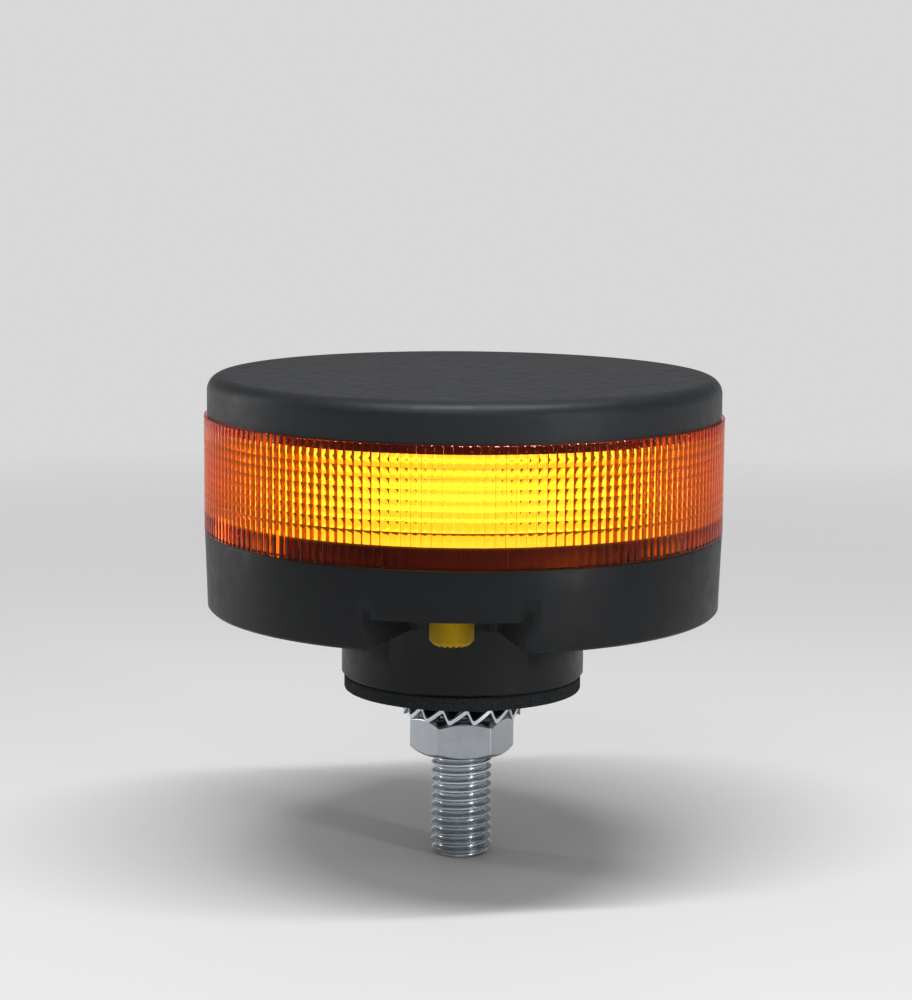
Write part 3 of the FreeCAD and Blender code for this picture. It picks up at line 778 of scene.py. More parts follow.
def revolved(section: Callable[[float], Profile], angles: Sequence[float], name: str,
             closed: bool = True) -> bpy.types.Mesh:
    """A turned shell, whose section may change with the angle.

    Args:
        section: gives the section's points at an angle.
        angles: where sections are taken, the last a full turn after the first.
        name: the mesh's name.
        closed: whether the section closes on itself. If not, its ends lie on the axis.

    Returns:
        The closed shell.
    """
    columns = [[polar(r, a, z) * MM for r, z in section(a)] for a in angles]
    return spun(columns, name, closed)


def even_turn(count: int) -> list[float]:
    """Evenly spaced angles for one full turn, both ends included."""
    return [i * FULL_TURN / count for i in range(count + 1)]


def smoothed(mesh: bpy.types.Mesh, sharp: float) -> bpy.types.Mesh:
    """Shades a mesh smooth, apart from its sharp edges.

    Args:
        mesh: the mesh.
        sharp: edges over this many degrees stay sharp.

    Returns:
        The mesh.
    """
    mesh.shade_smooth()
    mesh.set_sharp_from_angle(angle=math.radians(sharp))
    return mesh


def solid_object(name: str, mesh: bpy.types.Mesh) -> bpy.types.Object:
    """Puts a mesh in the scene, unturned at the origin.

    Args:
        name: the object's name.
        mesh: its mesh.

    Returns:
        The object.
    """
    piece = bpy.data.objects.new(name, mesh)
    bpy.context.scene.collection.objects.link(piece)
    return piece


def applied(piece: bpy.types.Object) -> bpy.types.Object:
    """Turns a piece's modifiers into plain mesh.

    Args:
        piece: the object.

    Returns:
        The piece, without modifiers.
    """
    graph = bpy.context.evaluated_depsgraph_get()
    mesh = bpy.data.meshes.new_from_object(piece.evaluated_get(graph), depsgraph=graph)
    piece.modifiers.clear()
    piece.data = mesh
    return piece


def flat_shaded(piece: bpy.types.Object, sharp: float) -> bpy.types.Object:
    """Shades a piece smooth, with its large faces kept flat.

    Args:
        piece: the mesh object.
        sharp: edges over this many degrees stay sharp.

    Returns:
        The piece.
    """
    smoothed(piece.data, sharp)
    weighted = piece.modifiers.new("shading", "WEIGHTED_NORMAL")
    weighted.keep_sharp = True
    return applied(piece)


def bevelled(piece: bpy.types.Object, width: float, sharp: float, segments: int = 2
             ) -> bpy.types.Object:
    """Rounds a piece's sharp edges.

    Args:
        piece: the mesh object.
        width: the rounding's width in metres.
        sharp: edges over this many degrees are rounded.
        segments: how many faces go across a rounding.

    Returns:
        The piece, shaded.
    """
    draft = drafted(piece.data)
    bmesh.ops.dissolve_limit(draft, angle_limit=LEVEL, verts=draft.verts, edges=draft.edges)
    draft.to_mesh(piece.data)
    draft.free()
    bevel = piece.modifiers.new("edges", "BEVEL")
    bevel.width = width
    bevel.segments = segments
    bevel.limit_method = "ANGLE"
    bevel.angle_limit = math.radians(sharp)
    bevel.use_clamp_overlap = True
    applied(piece)
    piece.data = merged(piece.name, piece.data, BEVEL_WELD)
    return flat_shaded(piece, sharp)


def placed(piece: bpy.types.Object, finish: bpy.types.Material | None, slot: str, body: Body,
           *nodes: str) -> bpy.types.Object:
    """Gives a piece its finish and its body, and lets it stand for CAD nodes.

    Args:
        piece: the finished mesh object.
        finish: its material, or None where the mesh has it already.
        slot: the record's material slot; not used.
        body: the body it rides on.
        nodes: the CAD nodes it replaces.

    Returns:
        The piece.
    """
    if finish is not None:
        piece.data.materials.clear()
        piece.data.materials.append(finish)
    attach(piece, body.value)
    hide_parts(*nodes)
    LOG.info("%s: %d faces, on %s", piece.name, len(piece.data.polygons), body.value)
    return piece


def shaded_copy(node: str, name: str, finish: bpy.types.Material, slot: str, body: Body,
                sharp: float = 28.0) -> bpy.types.Object:
    """A smoothly shaded copy of a CAD node in a finish of its own.

    Args:
        node: the CAD node.
        name: the piece's name.
        finish: the piece's material.
        slot: the record's material slot, passed to placed, which does not use it.
        body: the body it rides on.
        sharp: edges over this many degrees stay sharp.

    Returns:
        The piece, which replaces the node.
    """
    piece = solid_object(name, merged(name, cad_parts[node].data, NODE_WELD))
    return placed(flat_shaded(piece, sharp), finish, slot, body, node)


def hexagon_shell(name: str, flats: float, bottom: float, top: float, turn: float,
                  bore: float = 0.0, mouth: float = 0.0, face_share: float = 0.95,
                  corner_cut: float = 0.16, chamfer: float = math.radians(30.0),
                  columns: int = 144) -> bpy.types.Mesh:
    """A hexagon with turned chamfers at both ends, bored through or solid.

    Args:
        name: the mesh's name.
        flats: the width across flats in mm.
        bottom: the lower face's height in mm.
        top: the upper face's height in mm.
        turn: how far the flat that faces the front is turned, in radians.
        bore: the bore's radius in mm, or 0 for a solid hexagon.
        mouth: the countersink at both mouths of the bore in mm.
        face_share: the end faces' diameter over the width across flats.
        corner_cut: how far the corners are turned off in mm.
        chamfer: the chamfers' angle to the end faces in radians.
        columns: how many columns go round, apart from those at the corners.

    Returns:
        The closed shell.
    """
    face_r = flats / 2 * face_share
    corner_r = flats / math.sqrt(3) - corner_cut
    sixth = FULL_TURN / 6
    front = FRONT + turn

    def section(angle: float) -> Profile:
        """The hexagon's section, which is highest where the chamfers spare the most.

        Args:
            angle: where the section is taken, in radians from +X.

        Returns:
            The section's points in mm.
        """
        local = (angle - front + sixth / 2) % sixth - sixth / 2
        reach = min(flats / 2 / math.cos(local), corner_r)
        drop = (reach - face_r) * math.tan(chamfer)
        outside = [(face_r, bottom), (reach, bottom + drop), (reach, top - drop), (face_r, top)]
        if bore > 0:
            return outside + [(bore + mouth, top), (bore, top - mouth), (bore, bottom + mouth),
                              (bore + mouth, bottom)]
        return [(0.0, bottom)] + outside + [(0.0, top)]

    corner_half = math.acos(flats / 2 / corner_r)
    start = front - corner_half
    corners = sorted((k * sixth + (1 + side) * corner_half) % FULL_TURN
                     for k in range(6) for side in (-1, 1))
    between = FULL_TURN / columns
    even = [a for a in even_turn(columns)[:-1] if all(
        abs((a - c + math.pi) % FULL_TURN - math.pi) > between / 2 for c in corners)]
    angles = [start + a for a in sorted(corners + even)]
    return revolved(section, angles + [start + FULL_TURN], name, closed=bore > 0)


# ---------------------------------------------------------------- repeated shapes

class RingOfCopies:
    """A node tree that sets copies of a template round the Z axis, as one mesh."""

    def __init__(self) -> None:
        """Builds the tree once, for all the pieces that use it."""
        tree = bpy.data.node_groups.new("ring_of_copies", "GeometryNodeTree")
        for name, kind in (("Template", "NodeSocketGeometry"), ("Count", "NodeSocketInt"),
                           ("First Turn", "NodeSocketFloat"), ("Merge", "NodeSocketFloat"),
                           ("Finish", "NodeSocketMaterial")):
            tree.interface.new_socket(name, in_out="INPUT", socket_type=kind)
        tree.interface.new_socket("Ring", in_out="OUTPUT", socket_type="NodeSocketGeometry")
        self.tree = tree
        inward, outward = self._add("NodeGroupInput"), self._add("NodeGroupOutput")
        points = self._add("GeometryNodePoints")
        index = self._add("GeometryNodeInputIndex")
        step = math_node(tree, "DIVIDE", FULL_TURN, inward.outputs["Count"])
        turned = math_node(tree, "MULTIPLY", index.outputs["Index"], step)
        angle = math_node(tree, "ADD", turned, inward.outputs["First Turn"])
        rotation = self._add("ShaderNodeCombineXYZ")
        copies = self._add("GeometryNodeInstanceOnPoints")
        real = self._add("GeometryNodeRealizeInstances")
        welded = self._add("GeometryNodeMergeByDistance")
        dressed = self._add("GeometryNodeSetMaterial")
        for source, target in (
                (inward.outputs["Count"], points.inputs["Count"]),
                (angle, rotation.inputs["Z"]),
                (points.outputs["Points"], copies.inputs["Points"]),
                (inward.outputs["Template"], copies.inputs["Instance"]),
                (rotation.outputs["Vector"], copies.inputs["Rotation"]),
                (copies.outputs["Instances"], real.inputs["Geometry"]),
                (real.outputs["Geometry"], welded.inputs["Geometry"]),
                (inward.outputs["Merge"], welded.inputs["Distance"]),
                (welded.outputs["Geometry"], dressed.inputs["Geometry"]),
                (inward.outputs["Finish"], dressed.inputs["Material"]),
                (dressed.outputs["Geometry"], outward.inputs["Ring"])):
            tree.links.new(source, target)

    def _add(self, kind: str) -> bpy.types.Node:
        """Adds a node of a kind."""
        return self.tree.nodes.new(kind)

    def make(self, name: str, template: bpy.types.Mesh, count: int, finish: bpy.types.Material,
             first_turn: float = 0.0, merge: float = NODE_WELD) -> bpy.types.Object:
        """Makes one piece.

        Args:
            name: the piece's name.
            template: one copy's mesh, in its place at angle 0.
            count: how many copies go round.
            finish: the copies' material.
            first_turn: the first copy's angle in radians.
            merge: corners nearer than this become one, in metres.

        Returns:
            The piece as a plain mesh object.
        """
        piece = solid_object(name, template)
        modifier = piece.modifiers.new("ring", "NODES")
        modifier.node_group = self.tree
        values = {"Count": count, "First Turn": first_turn, "Merge": merge, "Finish": finish}
        for item in self.tree.interface.items_tree:
            if item.in_out == "INPUT" and item.name in values:
                modifier[item.identifier] = values[item.name]
        return applied(piece)


# ---------------------------------------------------------------- lens

@dataclass
class LensRing:
    """The amber ring: convex vertical flutes outside, horizontal prism ribs inside."""

    flute_count: int = 188
    flute_depth: float = 0.38
    flute_relief: float = 0.31
    flute_segments: int = 10
    wall: float = 2.1
    rib_pitch: float = 1.95
    rib_crown: float = 0.22
    prism_share: float = 0.42
    facet_segments: int = 4
    spokes: int = 2
    focal_length: float = 15.5
    optical_height: float = 11.5
    index: float = 1.586
    base_spigot: float = 3.95
    cover_spigot: float = 1.9
    gap: float = 0.3
    edge: float = 0.12
    merge: float = 0.002 * MM
    sharp: float = 32.0

    def section(self, height: float, bore: float) -> Profile:
        """The ribbed inner wall from the lower edge to the upper, as (radius, height) in mm.

        Args:
            height: the ring's height.
            bore: the radius of the wall between the ribs.

        Returns:
            The wall's corners.
        """
        axis = self.optical_height
        lower = self._zones(axis - self.base_spigot - self.gap)
        upper = self._zones(height - self.cover_spigot - self.gap - axis)
        half = self.rib_pitch / 2
        wall = [(bore, 0.0)]
        for near, far, depth in reversed(lower):
            wall += self._facet(bore, axis - far, 0.0, axis - near, depth)
        wall += self._facet(bore, axis - half, 0.0, axis + half, 0.0)
        for near, far, depth in upper:
            wall += self._facet(bore, axis + near, depth, axis + far, 0.0)
        return wall + [(bore, height)]

    def _facet(self, bore: float, bottom: float, low_depth: float, top: float,
               high_depth: float) -> Profile:
        """One rib's facet, crowned between its two edges.

        Args:
            bore: the radius of the wall between the ribs.
            bottom: the lower edge's height.
            low_depth: how far the prism stands in from the wall at the lower edge.
            top: the upper edge's height.
            high_depth: how far it stands in at the upper edge.

        Returns:
            The facet's points, from the lower edge to the upper.
        """
        points = []
        for i in range(self.facet_segments + 1):
            share = i / self.facet_segments
            depth = (low_depth + (high_depth - low_depth) * share) * self.prism_share
            crown = 4 * self.rib_crown * share * (1 - share)
            points.append((bore - depth - crown, bottom + (top - bottom) * share))
        return points

    def _zones(self, limit: float) -> list[tuple[float, float, float]]:
        """The ribs on one side of the optical axis.

        By Snell's law, a facet whose slope is sin(ray) / (index - cos(ray)) turns that ray,
        from the LED at the focus, level.

        Args:
            limit: how far from the axis the ribs go.

        Returns:
            Each rib's nearest and furthest reach from the axis, and its depth.
        """
        zones, near = [], self.rib_pitch / 2
        while limit - near > self.rib_pitch / 4:
            far = min(near + self.rib_pitch, limit)
            ray = math.atan((near + far) / 2 / self.focal_length)
            slope = math.sin(ray) / (self.index - math.cos(ray))
            zones.append((near, far, (far - near) * slope))
            near = far
        return zones

    def flute(self, radius: float) -> list[Vector]:
        """One flute's arc in the plan.

        Args:
            radius: the radius to the flute's crest.

        Returns:
            The arc's points from valley to valley, the first at angle 0.
        """
        half_step = math.pi / self.flute_count
        valley = radius - self.flute_relief
        half_chord = valley * math.sin(half_step)
        rise = radius - valley * math.cos(half_step)
        arc_r = (half_chord ** 2 + rise ** 2) / (2 * rise)
        spread = math.asin(half_chord / arc_r)
        points = []
        for i in range(self.flute_segments + 1):
            t = spread * (2 * i / self.flute_segments - 1)
            x, y = radius - arc_r + arc_r * math.cos(t), arc_r * math.sin(t)
            points.append(polar(math.hypot(x, y), math.atan2(y, x) + half_step, 0.0))
        return points

    def template(self) -> bpy.types.Mesh:
        """One flute's share of the ring, open at both sides.

        Returns:
            The share's mesh.
        """
        low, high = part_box("lens_ring")
        radius, bottom, height = high.x / MM, low.z / MM, (high.z - low.z) / MM
        step = FULL_TURN / self.flute_count
        outline = self.flute(radius)
        eased = [point * (1 - self.edge / radius) for point in outline]
        draft = bmesh.new()

        def row(points: Sequence[Vector], level: float) -> list[bmesh.types.BMVert]:
            """Sets plan points at a height over the ring's lower edge."""
            return [draft.verts.new((p + Vector((0, 0, bottom + level))) * MM) for p in points]

        outside = [row(eased, 0.0), row(outline, self.edge), row(outline, height - self.edge),
                   row(eased, height)]
        bore = radius - self.flute_depth - self.wall
        inside = [row([polar(reach, step * i / self.spokes, 0.0)
                       for i in range(self.spokes + 1)], level)
                  for reach, level in self.section(height, bore)]
        for lower, upper in zip(outside, outside[1:]):
            bridged(draft, upper, lower)
        for lower, upper in zip(inside, inside[1:]):
            bridged(draft, lower, upper)
        draft.faces.new(outside[-1] + inside[-1][::-1])
        draft.faces.new(outside[0][::-1] + inside[0])
        return plain_mesh(draft, "flute")

    def build(self, rings: RingOfCopies) -> None:
        """Makes the lens.

        Args:
            rings: the tree that sets copies round the axis.
        """
        low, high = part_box("lens_ring")
        # The glass's painted glow spans the height between the spigots.
        glass = AmberGlass("amber_polycarbonate", self.index,
                           painted_glow_from=low.z + (self.base_spigot + self.gap) * MM,
                           painted_glow_to=high.z - (self.cover_spigot + self.gap) * MM)
        piece = rings.make("lens", self.template(), self.flute_count, glass.make(),
                           merge=self.merge)
        smoothed(piece.data, self.sharp)
        placed(piece, None, "lens_amber", Body.ROOT, "lens_ring")


# ---------------------------------------------------------------- housing

@dataclass
class Housing:
    """Cover, base and the seals between them and the lens."""

    cover: MouldedPlastic = MouldedPlastic("cover_plastic", (0.010, 0.0115, 0.0135),
                                           roughness=0.47, gloss=0.32)
    # Painted shade: the base is the same black plastic as the cover, given a darker colour.
    base: MouldedPlastic = MouldedPlastic("base_plastic_painted_darker", (0.006, 0.007, 0.0082),
                                          roughness=0.42, gloss=0.20)
    seal: Rubber = Rubber("seal_rubber")

    def build(self) -> None:
        """Makes the mouldings and the seals."""
        rubber = self.seal.make()
        for node, name, finish, slot in (
                ("top_cover", "cover", self.cover.make(), "cover_black"),
                ("base_housing", "base", self.base.make(), "base_black"),
                ("cover_seal", "upper_seal", rubber, "seal_rubber"),
                ("lens_seal", "lower_seal", rubber, "seal_rubber")):
            shaded_copy(node, name, finish, slot, Body.ROOT)


# ---------------------------------------------------------------- light engine

@dataclass
class LightEngine:
    """LED carrier, LED boards and LEDs."""

    facets: int = 12
    leds_per_board: int = 3
    led_side: float = 3.0
    led_body: float = 0.5
    led_rise: float = 0.3
    led_edge: float = 0.12
    dome_radius: float = 1.3
    metal: CastMetal = CastMetal("carrier_metal", (0.72, 0.72, 0.72))
    ceramic: MattBlock = MattBlock("led_ceramic", (0.82, 0.80, 0.74), roughness=0.5)
    mask: Colour = (0.90, 0.88, 0.82)
    # The LEDs' light colour, which the boards' painted glow also takes.
    glow: Colour = (0.90, 1.0, 0.92)
    led_strength: float = 6.0
    # The boards' painted glow: its strength, its share at the band's edge, and the band's reach
    # from the LEDs' height in mm.
    board_painted_glow_strength: float = 4.2
    board_share: float = 0.56
    painted_glow_band: float = 3.2

    def build(self, rings: RingOfCopies) -> None:
        """Makes the carrier, the boards' finish and the LEDs.

        Args:
            rings: the tree that sets copies round the axis.
        """
        shaded_copy("led_carrier", "carrier", self.metal.make(), "carrier_aluminium", Body.ROOT)
        # The boards are painted to glow at the LEDs' height, standing in for the LEDs' light on
        # them.
        board = PaintedGlowBoard("led_board_mask_painted_glow", self.mask, self.glow, self._level(),
                         self.painted_glow_band * MM, self.board_painted_glow_strength, self.board_share).make()
        for i in range(1, self.facets + 1):
            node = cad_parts[f"led_board_{i:02d}"]
            for holder in node.material_slots:
                holder.material = board
            LOG.info("%s: dressed", node.name)
        ceramic = self.ceramic.make()
        lit = LitPhosphor("led_phosphor", self.glow, self.led_strength).make()
        bodies = rings.make("led_bodies", self._row(self._package), self.facets, ceramic, FRONT)
        placed(bodies, None, "board_white", Body.ROOT)
        domes = rings.make("led_domes", self._row(self._dome), self.facets, lit, FRONT)
        domes.data.shade_smooth()
        placed(domes, None, "led_face", Body.ROOT, "leds")

    def _level(self) -> float:
        """The LEDs' height in metres."""
        low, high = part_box("leds")
        return (low.z + high.z) / 2

    def _row(self, one: Callable[[bmesh.types.BMesh, Vector], None]) -> bpy.types.Mesh:
        """A board's row of one of the LEDs' parts, facing +X.

        Args:
            one: adds the part to a draft, with the middle of its front at a point.

        Returns:
            The row's mesh.
        """
        low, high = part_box("led_board_01")
        spacing = (high.x - low.x) / self.leds_per_board
        face = -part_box("leds")[0].y
        draft = bmesh.new()
        for i in range(self.leds_per_board):
            offset = (i - (self.leds_per_board - 1) / 2) * spacing
            one(draft, Vector((face, offset, self._level())))
        bmesh.ops.recalc_face_normals(draft, faces=draft.faces)
        return plain_mesh(draft, "led_row")

    def _package(self, draft: bmesh.types.BMesh, face: Vector) -> None:
        """Adds the ceramic body of one LED, behind its dome.

        Args:
            draft: the mesh in the making.
            face: the middle of the LED's front.
        """
        back = face - Vector((self.led_rise + self.led_body / 2, 0, 0)) * MM
        size = Matrix.Diagonal((self.led_body * MM, self.led_side * MM, self.led_side * MM, 1.0))
        made = bmesh.ops.create_cube(draft, size=1.0, matrix=Matrix.Translation(back) @ size)
        edges = {edge for vert in made["verts"] for edge in vert.link_edges}
        bmesh.ops.bevel(draft, geom=list(edges), offset=self.led_edge * MM, segments=1,
                        affect="EDGES", profile=0.5)

    def _dome(self, draft: bmesh.types.BMesh, face: Vector) -> None:
        """Adds the lit dome of one LED.

        Args:
            draft: the mesh in the making.
            face: the middle of the LED's front.
        """
        centre = face - Vector((self.led_rise, 0, 0)) * MM
        size = Matrix.Diagonal((self.led_rise * MM, self.dome_radius * MM,
                                self.dome_radius * MM, 1.0))
        bmesh.ops.create_icosphere(draft, subdivisions=2, radius=1.0,
                                   matrix=Matrix.Translation(centre) @ size)


@dataclass
class DriverElectronics:
    """The driver board and what stands on it."""

    board: CircuitBoard = CircuitBoard("driver_board_mask", mask=(0.02, 0.16, 0.06),
                                       track=(0.05, 0.30, 0.12))
    can: CastMetal = CastMetal("can_sleeve", (0.66, 0.67, 0.70), roughness=0.3)
    ferrite: MattBlock = MattBlock("ferrite", (0.10, 0.10, 0.11), roughness=0.7)
    resin: MattBlock = MattBlock("chip_resin", (0.016, 0.016, 0.017))
    terminal: MouldedPlastic = MouldedPlastic("terminal_plastic", (0.04, 0.28, 0.11))
    steel: PlatedSteel = PlatedSteel("screw_steel", (0.42, 0.42, 0.41), roughness=0.34)

    def build(self) -> None:
        """Makes all the electronic pieces."""
        made = {slot: finish.make() for slot, finish in (
            ("board_green", self.board), ("can_aluminium", self.can),
            ("ferrite", self.ferrite), ("chip_black", self.resin),
            ("terminal_green", self.terminal), ("screw_steel", self.steel))}
        for node, slot in (
                ("driver_board", "board_green"), ("input_capacitor", "can_aluminium"),
                ("output_capacitor", "can_aluminium"), ("power_coil", "ferrite"),
                ("controller_chip", "chip_black"), ("current_regulator", "chip_black"),
                ("supply_terminal", "terminal_green"), ("led_header", "chip_black"),
                ("board_screws", "screw_steel"), ("cover_screws", "screw_steel")):
            shaded_copy(node, f"{node}_piece", made[slot], slot, Body.ROOT)


# ---------------------------------------------------------------- mounting set

@dataclass
class Stud:
    """The hexagon screw in the boss, with its rolled thread."""

    radius: float = 6.0
    pitch: float = 1.75
    crest_share: float = 0.19
    root_share: float = 0.12
    flank_swell: float = 0.06
    thread_depth: float = 1.07
    tip_chamfer: float = 1.1
    rows: int = 12
    columns: int = 108
    head_height: float = 7.5
    flats: float = 18.0
    hex_turn: float = math.radians(4.6)
    sharp: float = 40.0

    def thread_radius(self, phase: float) -> float:
        """The thread's outline, with a rounded root.

        Args:
            phase: the share of a pitch along the axis, 0 at a crest.

        Returns:
            The radius there.
        """
        distance = abs((phase + 0.5) % 1.0 - 0.5)
        crest, root = self.crest_share / 2, 0.5 - self.root_share / 2
        share = min(max((distance - crest) / (root - crest), 0.0), 1.0)
        swell = self.flank_swell * math.sin(2 * math.pi * share)
        return self.radius - self.thread_depth * (share - swell)

    def shank(self) -> bpy.types.Mesh:
        """The threaded shank with both ends chamfered.

        Returns:
            The shank's mesh.
        """
        low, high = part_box("mounting_stud")
        tip, top = low.z / MM, high.z / MM - self.head_height
        neck = self.radius - self.tip_chamfer
        count = int((top - tip + 2 * self.pitch) / self.pitch * self.rows)

        def section(angle: float) -> Profile:
            """The shank's section, which climbs by a pitch in a turn.

            Args:
                angle: where the section is taken, in radians from +X.

            Returns:
                The section's points in mm.
            """
            points = [(0.0, tip)]
            for k in range(count + 1):
                level = tip - self.pitch + (k / self.rows + angle / FULL_TURN) * self.pitch
                z = min(max(level, tip), top)
                points.append((min(self.thread_radius(k / self.rows), neck + z - tip,
                                   neck + top - z), z))
            return points + [(0.0, top)]

        return revolved(section, even_turn(self.columns), "shank", closed=False)

    def build(self, finish: bpy.types.Material) -> None:
        """Makes the stud with its head.

        Args:
            finish: the rolled steel's material.
        """
        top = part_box("mounting_stud")[1].z / MM
        head = hexagon_shell("stud_head", self.flats, top - self.head_height, top, self.hex_turn)
        mesh = smoothed(joined("stud", self.shank(), head), self.sharp)
        placed(solid_object("stud", mesh), finish, "zinc_steel", Body.ROOT, "mounting_stud")


@dataclass
class Nut:
    """The hexagon nut."""

    flats: float = 18.2
    bore: float = 6.05
    mouth: float = 0.7
    hex_turn: float = math.radians(4.6)
    edge: float = 0.22
    edge_segments: int = 3
    sharp: float = 24.0

    def build(self, finish: bpy.types.Material) -> None:
        """Makes the nut.

        Args:
            finish: the plated steel's material.
        """
        low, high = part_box("hex_nut")
        mesh = hexagon_shell("nut", self.flats, low.z / MM, high.z / MM, self.hex_turn,
                             self.bore, self.mouth)
        piece = bevelled(solid_object("nut", mesh), self.edge * MM, self.sharp,
                         self.edge_segments)
        placed(piece, finish, "zinc_steel", Body.NUT, "hex_nut")


@dataclass
class LockWasher:
    """The toothed lock washer: a flat band whose rim is folded into twisted teeth.

    A fold is a share of the tooth's step and how high the rim stands there, from -1 to 1.
    """

    teeth: int = 15
    bore: float = 6.5
    root: float = 9.0
    tip: float = 11.7
    band: float = 1.15
    thick: float = 1.1
    stations: int = 5
    edge: float = 0.14
    curl: float = 0.7
    folds: Sequence[tuple[float, float]] = (
        (-0.50, -1.0), (-0.43, -0.94), (-0.15, -0.10), (0.10, 0.72), (0.16, 0.95), (0.20, 1.0),
        (0.24, 0.90), (0.42, -0.80), (0.46, -0.96), (0.50, -1.0))
    sharp: float = 35.0
    # Painted light: the teeth's copy of the zinc plate is lighter than the nut's, to paint the
    # bright reflections they catch.
    finish: PlatedSteel = PlatedSteel("zinc_plate_teeth_painted_lighter", (0.56, 0.60, 0.63))

    def template(self, low: float, high: float) -> bpy.types.Mesh:
        """One tooth's share of the ring.

        Args:
            low: the height of the teeth's lowest points in mm.
            high: the height of their highest points in mm.

        Returns:
            The share's mesh, open at both sides.
        """
        rise = (high - low - self.thick) / 2
        middle = (low + high) / 2
        reach = self.tip - self.root
        draft = bmesh.new()
        columns = []
        for share, lift in self.folds:
            angle = share * FULL_TURN / self.teeth
            lifted = [(r, middle + z + lift * rise * max(0.0, (r - self.root) / reach) ** self.curl)
                      for r, z in self._outline()]
            columns.append([draft.verts.new(polar(r, angle, z) * MM) for r, z in lifted])
        for left, right in zip(columns, columns[1:]):
            bridged(draft, left, right, closed=True)
        return plain_mesh(draft, "tooth")

    def _outline(self) -> Profile:
        """The washer's section before its rim is folded, with its edges eased.

        Returns:
            The section's points in mm.
        """
        half, rim, e = self.band / 2, self.thick / 2, self.edge
        lower = []
        for i in range(self.stations + 1):
            share = i / self.stations
            lower.append((self.root + (self.tip - e - self.root) * share,
                          -half - (rim - half) * share))
        upper = [(r, -z) for r, z in reversed(lower)]
        return [(self.bore, e - half), (self.bore + e, -half), *lower, (self.tip, e - rim),
                (self.tip, rim - e), *upper, (self.bore + e, half), (self.bore, half - e)]

    def build(self, rings: RingOfCopies) -> None:
        """Makes the washer.

        Args:
            rings: the tree that sets copies round the axis.
        """
        low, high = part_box("tooth_lock_washer")
        piece = rings.make("lock_washer", self.template(low.z / MM, high.z / MM), self.teeth,
                           self.finish.make(), FRONT)
        smoothed(piece.data, self.sharp)
        placed(piece, None, "zinc_steel", Body.WASHERS, "tooth_lock_washer")


@dataclass
class Gasket:
    """The foam gasket, with a slightly uneven, open-celled rim."""

    bore: float = 6.3
    print_radius: float = 12.3
    print_depth: float = 0.3
    rim_inset: float = 0.3
    rim_ease: float = 0.3
    rim_reach: float = 0.5
    unevenness: float = 0.16
    dent_scale: float = 2.2
    face_share: float = 0.6
    columns: int = 300
    rim_rows: int = 12
    face_rows: int = 14
    seed: float = 17.0
    sharp: float = 50.0
    foam: CellFoam = CellFoam("gasket_foam")

    def section(self, rim: float, top: float) -> Profile:
        """The gasket's outline, finely divided where it shows.

        Args:
            rim: the rim's radius in mm.
            top: the upper face's height in mm.

        Returns:
            The outline's points in mm.
        """
        inset, ease = self.rim_inset, self.rim_inset * self.rim_ease
        points = [(self.bore, self.print_depth), (self.print_radius, self.print_depth),
                  (self.print_radius, 0.0)]
        for i in range(1, self.face_rows):
            share = i / self.face_rows
            points.append((self.print_radius + (rim - inset - self.print_radius) * share, 0.0))
        points += [(rim - inset, 0.0), (rim - ease, ease)]
        for i in range(self.rim_rows + 1):
            points.append((rim, inset + (top - 2 * inset) * i / self.rim_rows))
        return points + [(rim - ease, top - ease), (rim - inset, top), (self.bore, top)]

    def build(self) -> None:
        """Makes the gasket."""
        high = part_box("mounting_gasket")[1]
        rim, top = high.x / MM, high.z / MM
        outline = self.section(rim, top)

        def section(angle: float) -> Profile:
            """The outline with the foam's dents in its rim and its lower face.

            Args:
                angle: where the section is taken, in radians from +X.

            Returns:
                The section's points in mm.
            """
            points = []
            for r, z in outline:
                if r > self.print_radius:
                    spot = polar(r * self.dent_scale, angle, z * self.dent_scale + self.seed)
                    dent = self.unevenness * abs(noise.noise(spot))
                    if r > rim - self.rim_reach:
                        r -= dent
                    elif z < top / 2:
                        z += dent * self.face_share
                points.append((r, z))
            return points

        turn = even_turn(self.columns)
        mesh = revolved(section, turn[:-1] + turn[:1], "gasket")
        piece = solid_object("gasket", smoothed(mesh, self.sharp))
        placed(piece, self.foam.make(), "gasket_foam", Body.ROOT, "mounting_gasket")


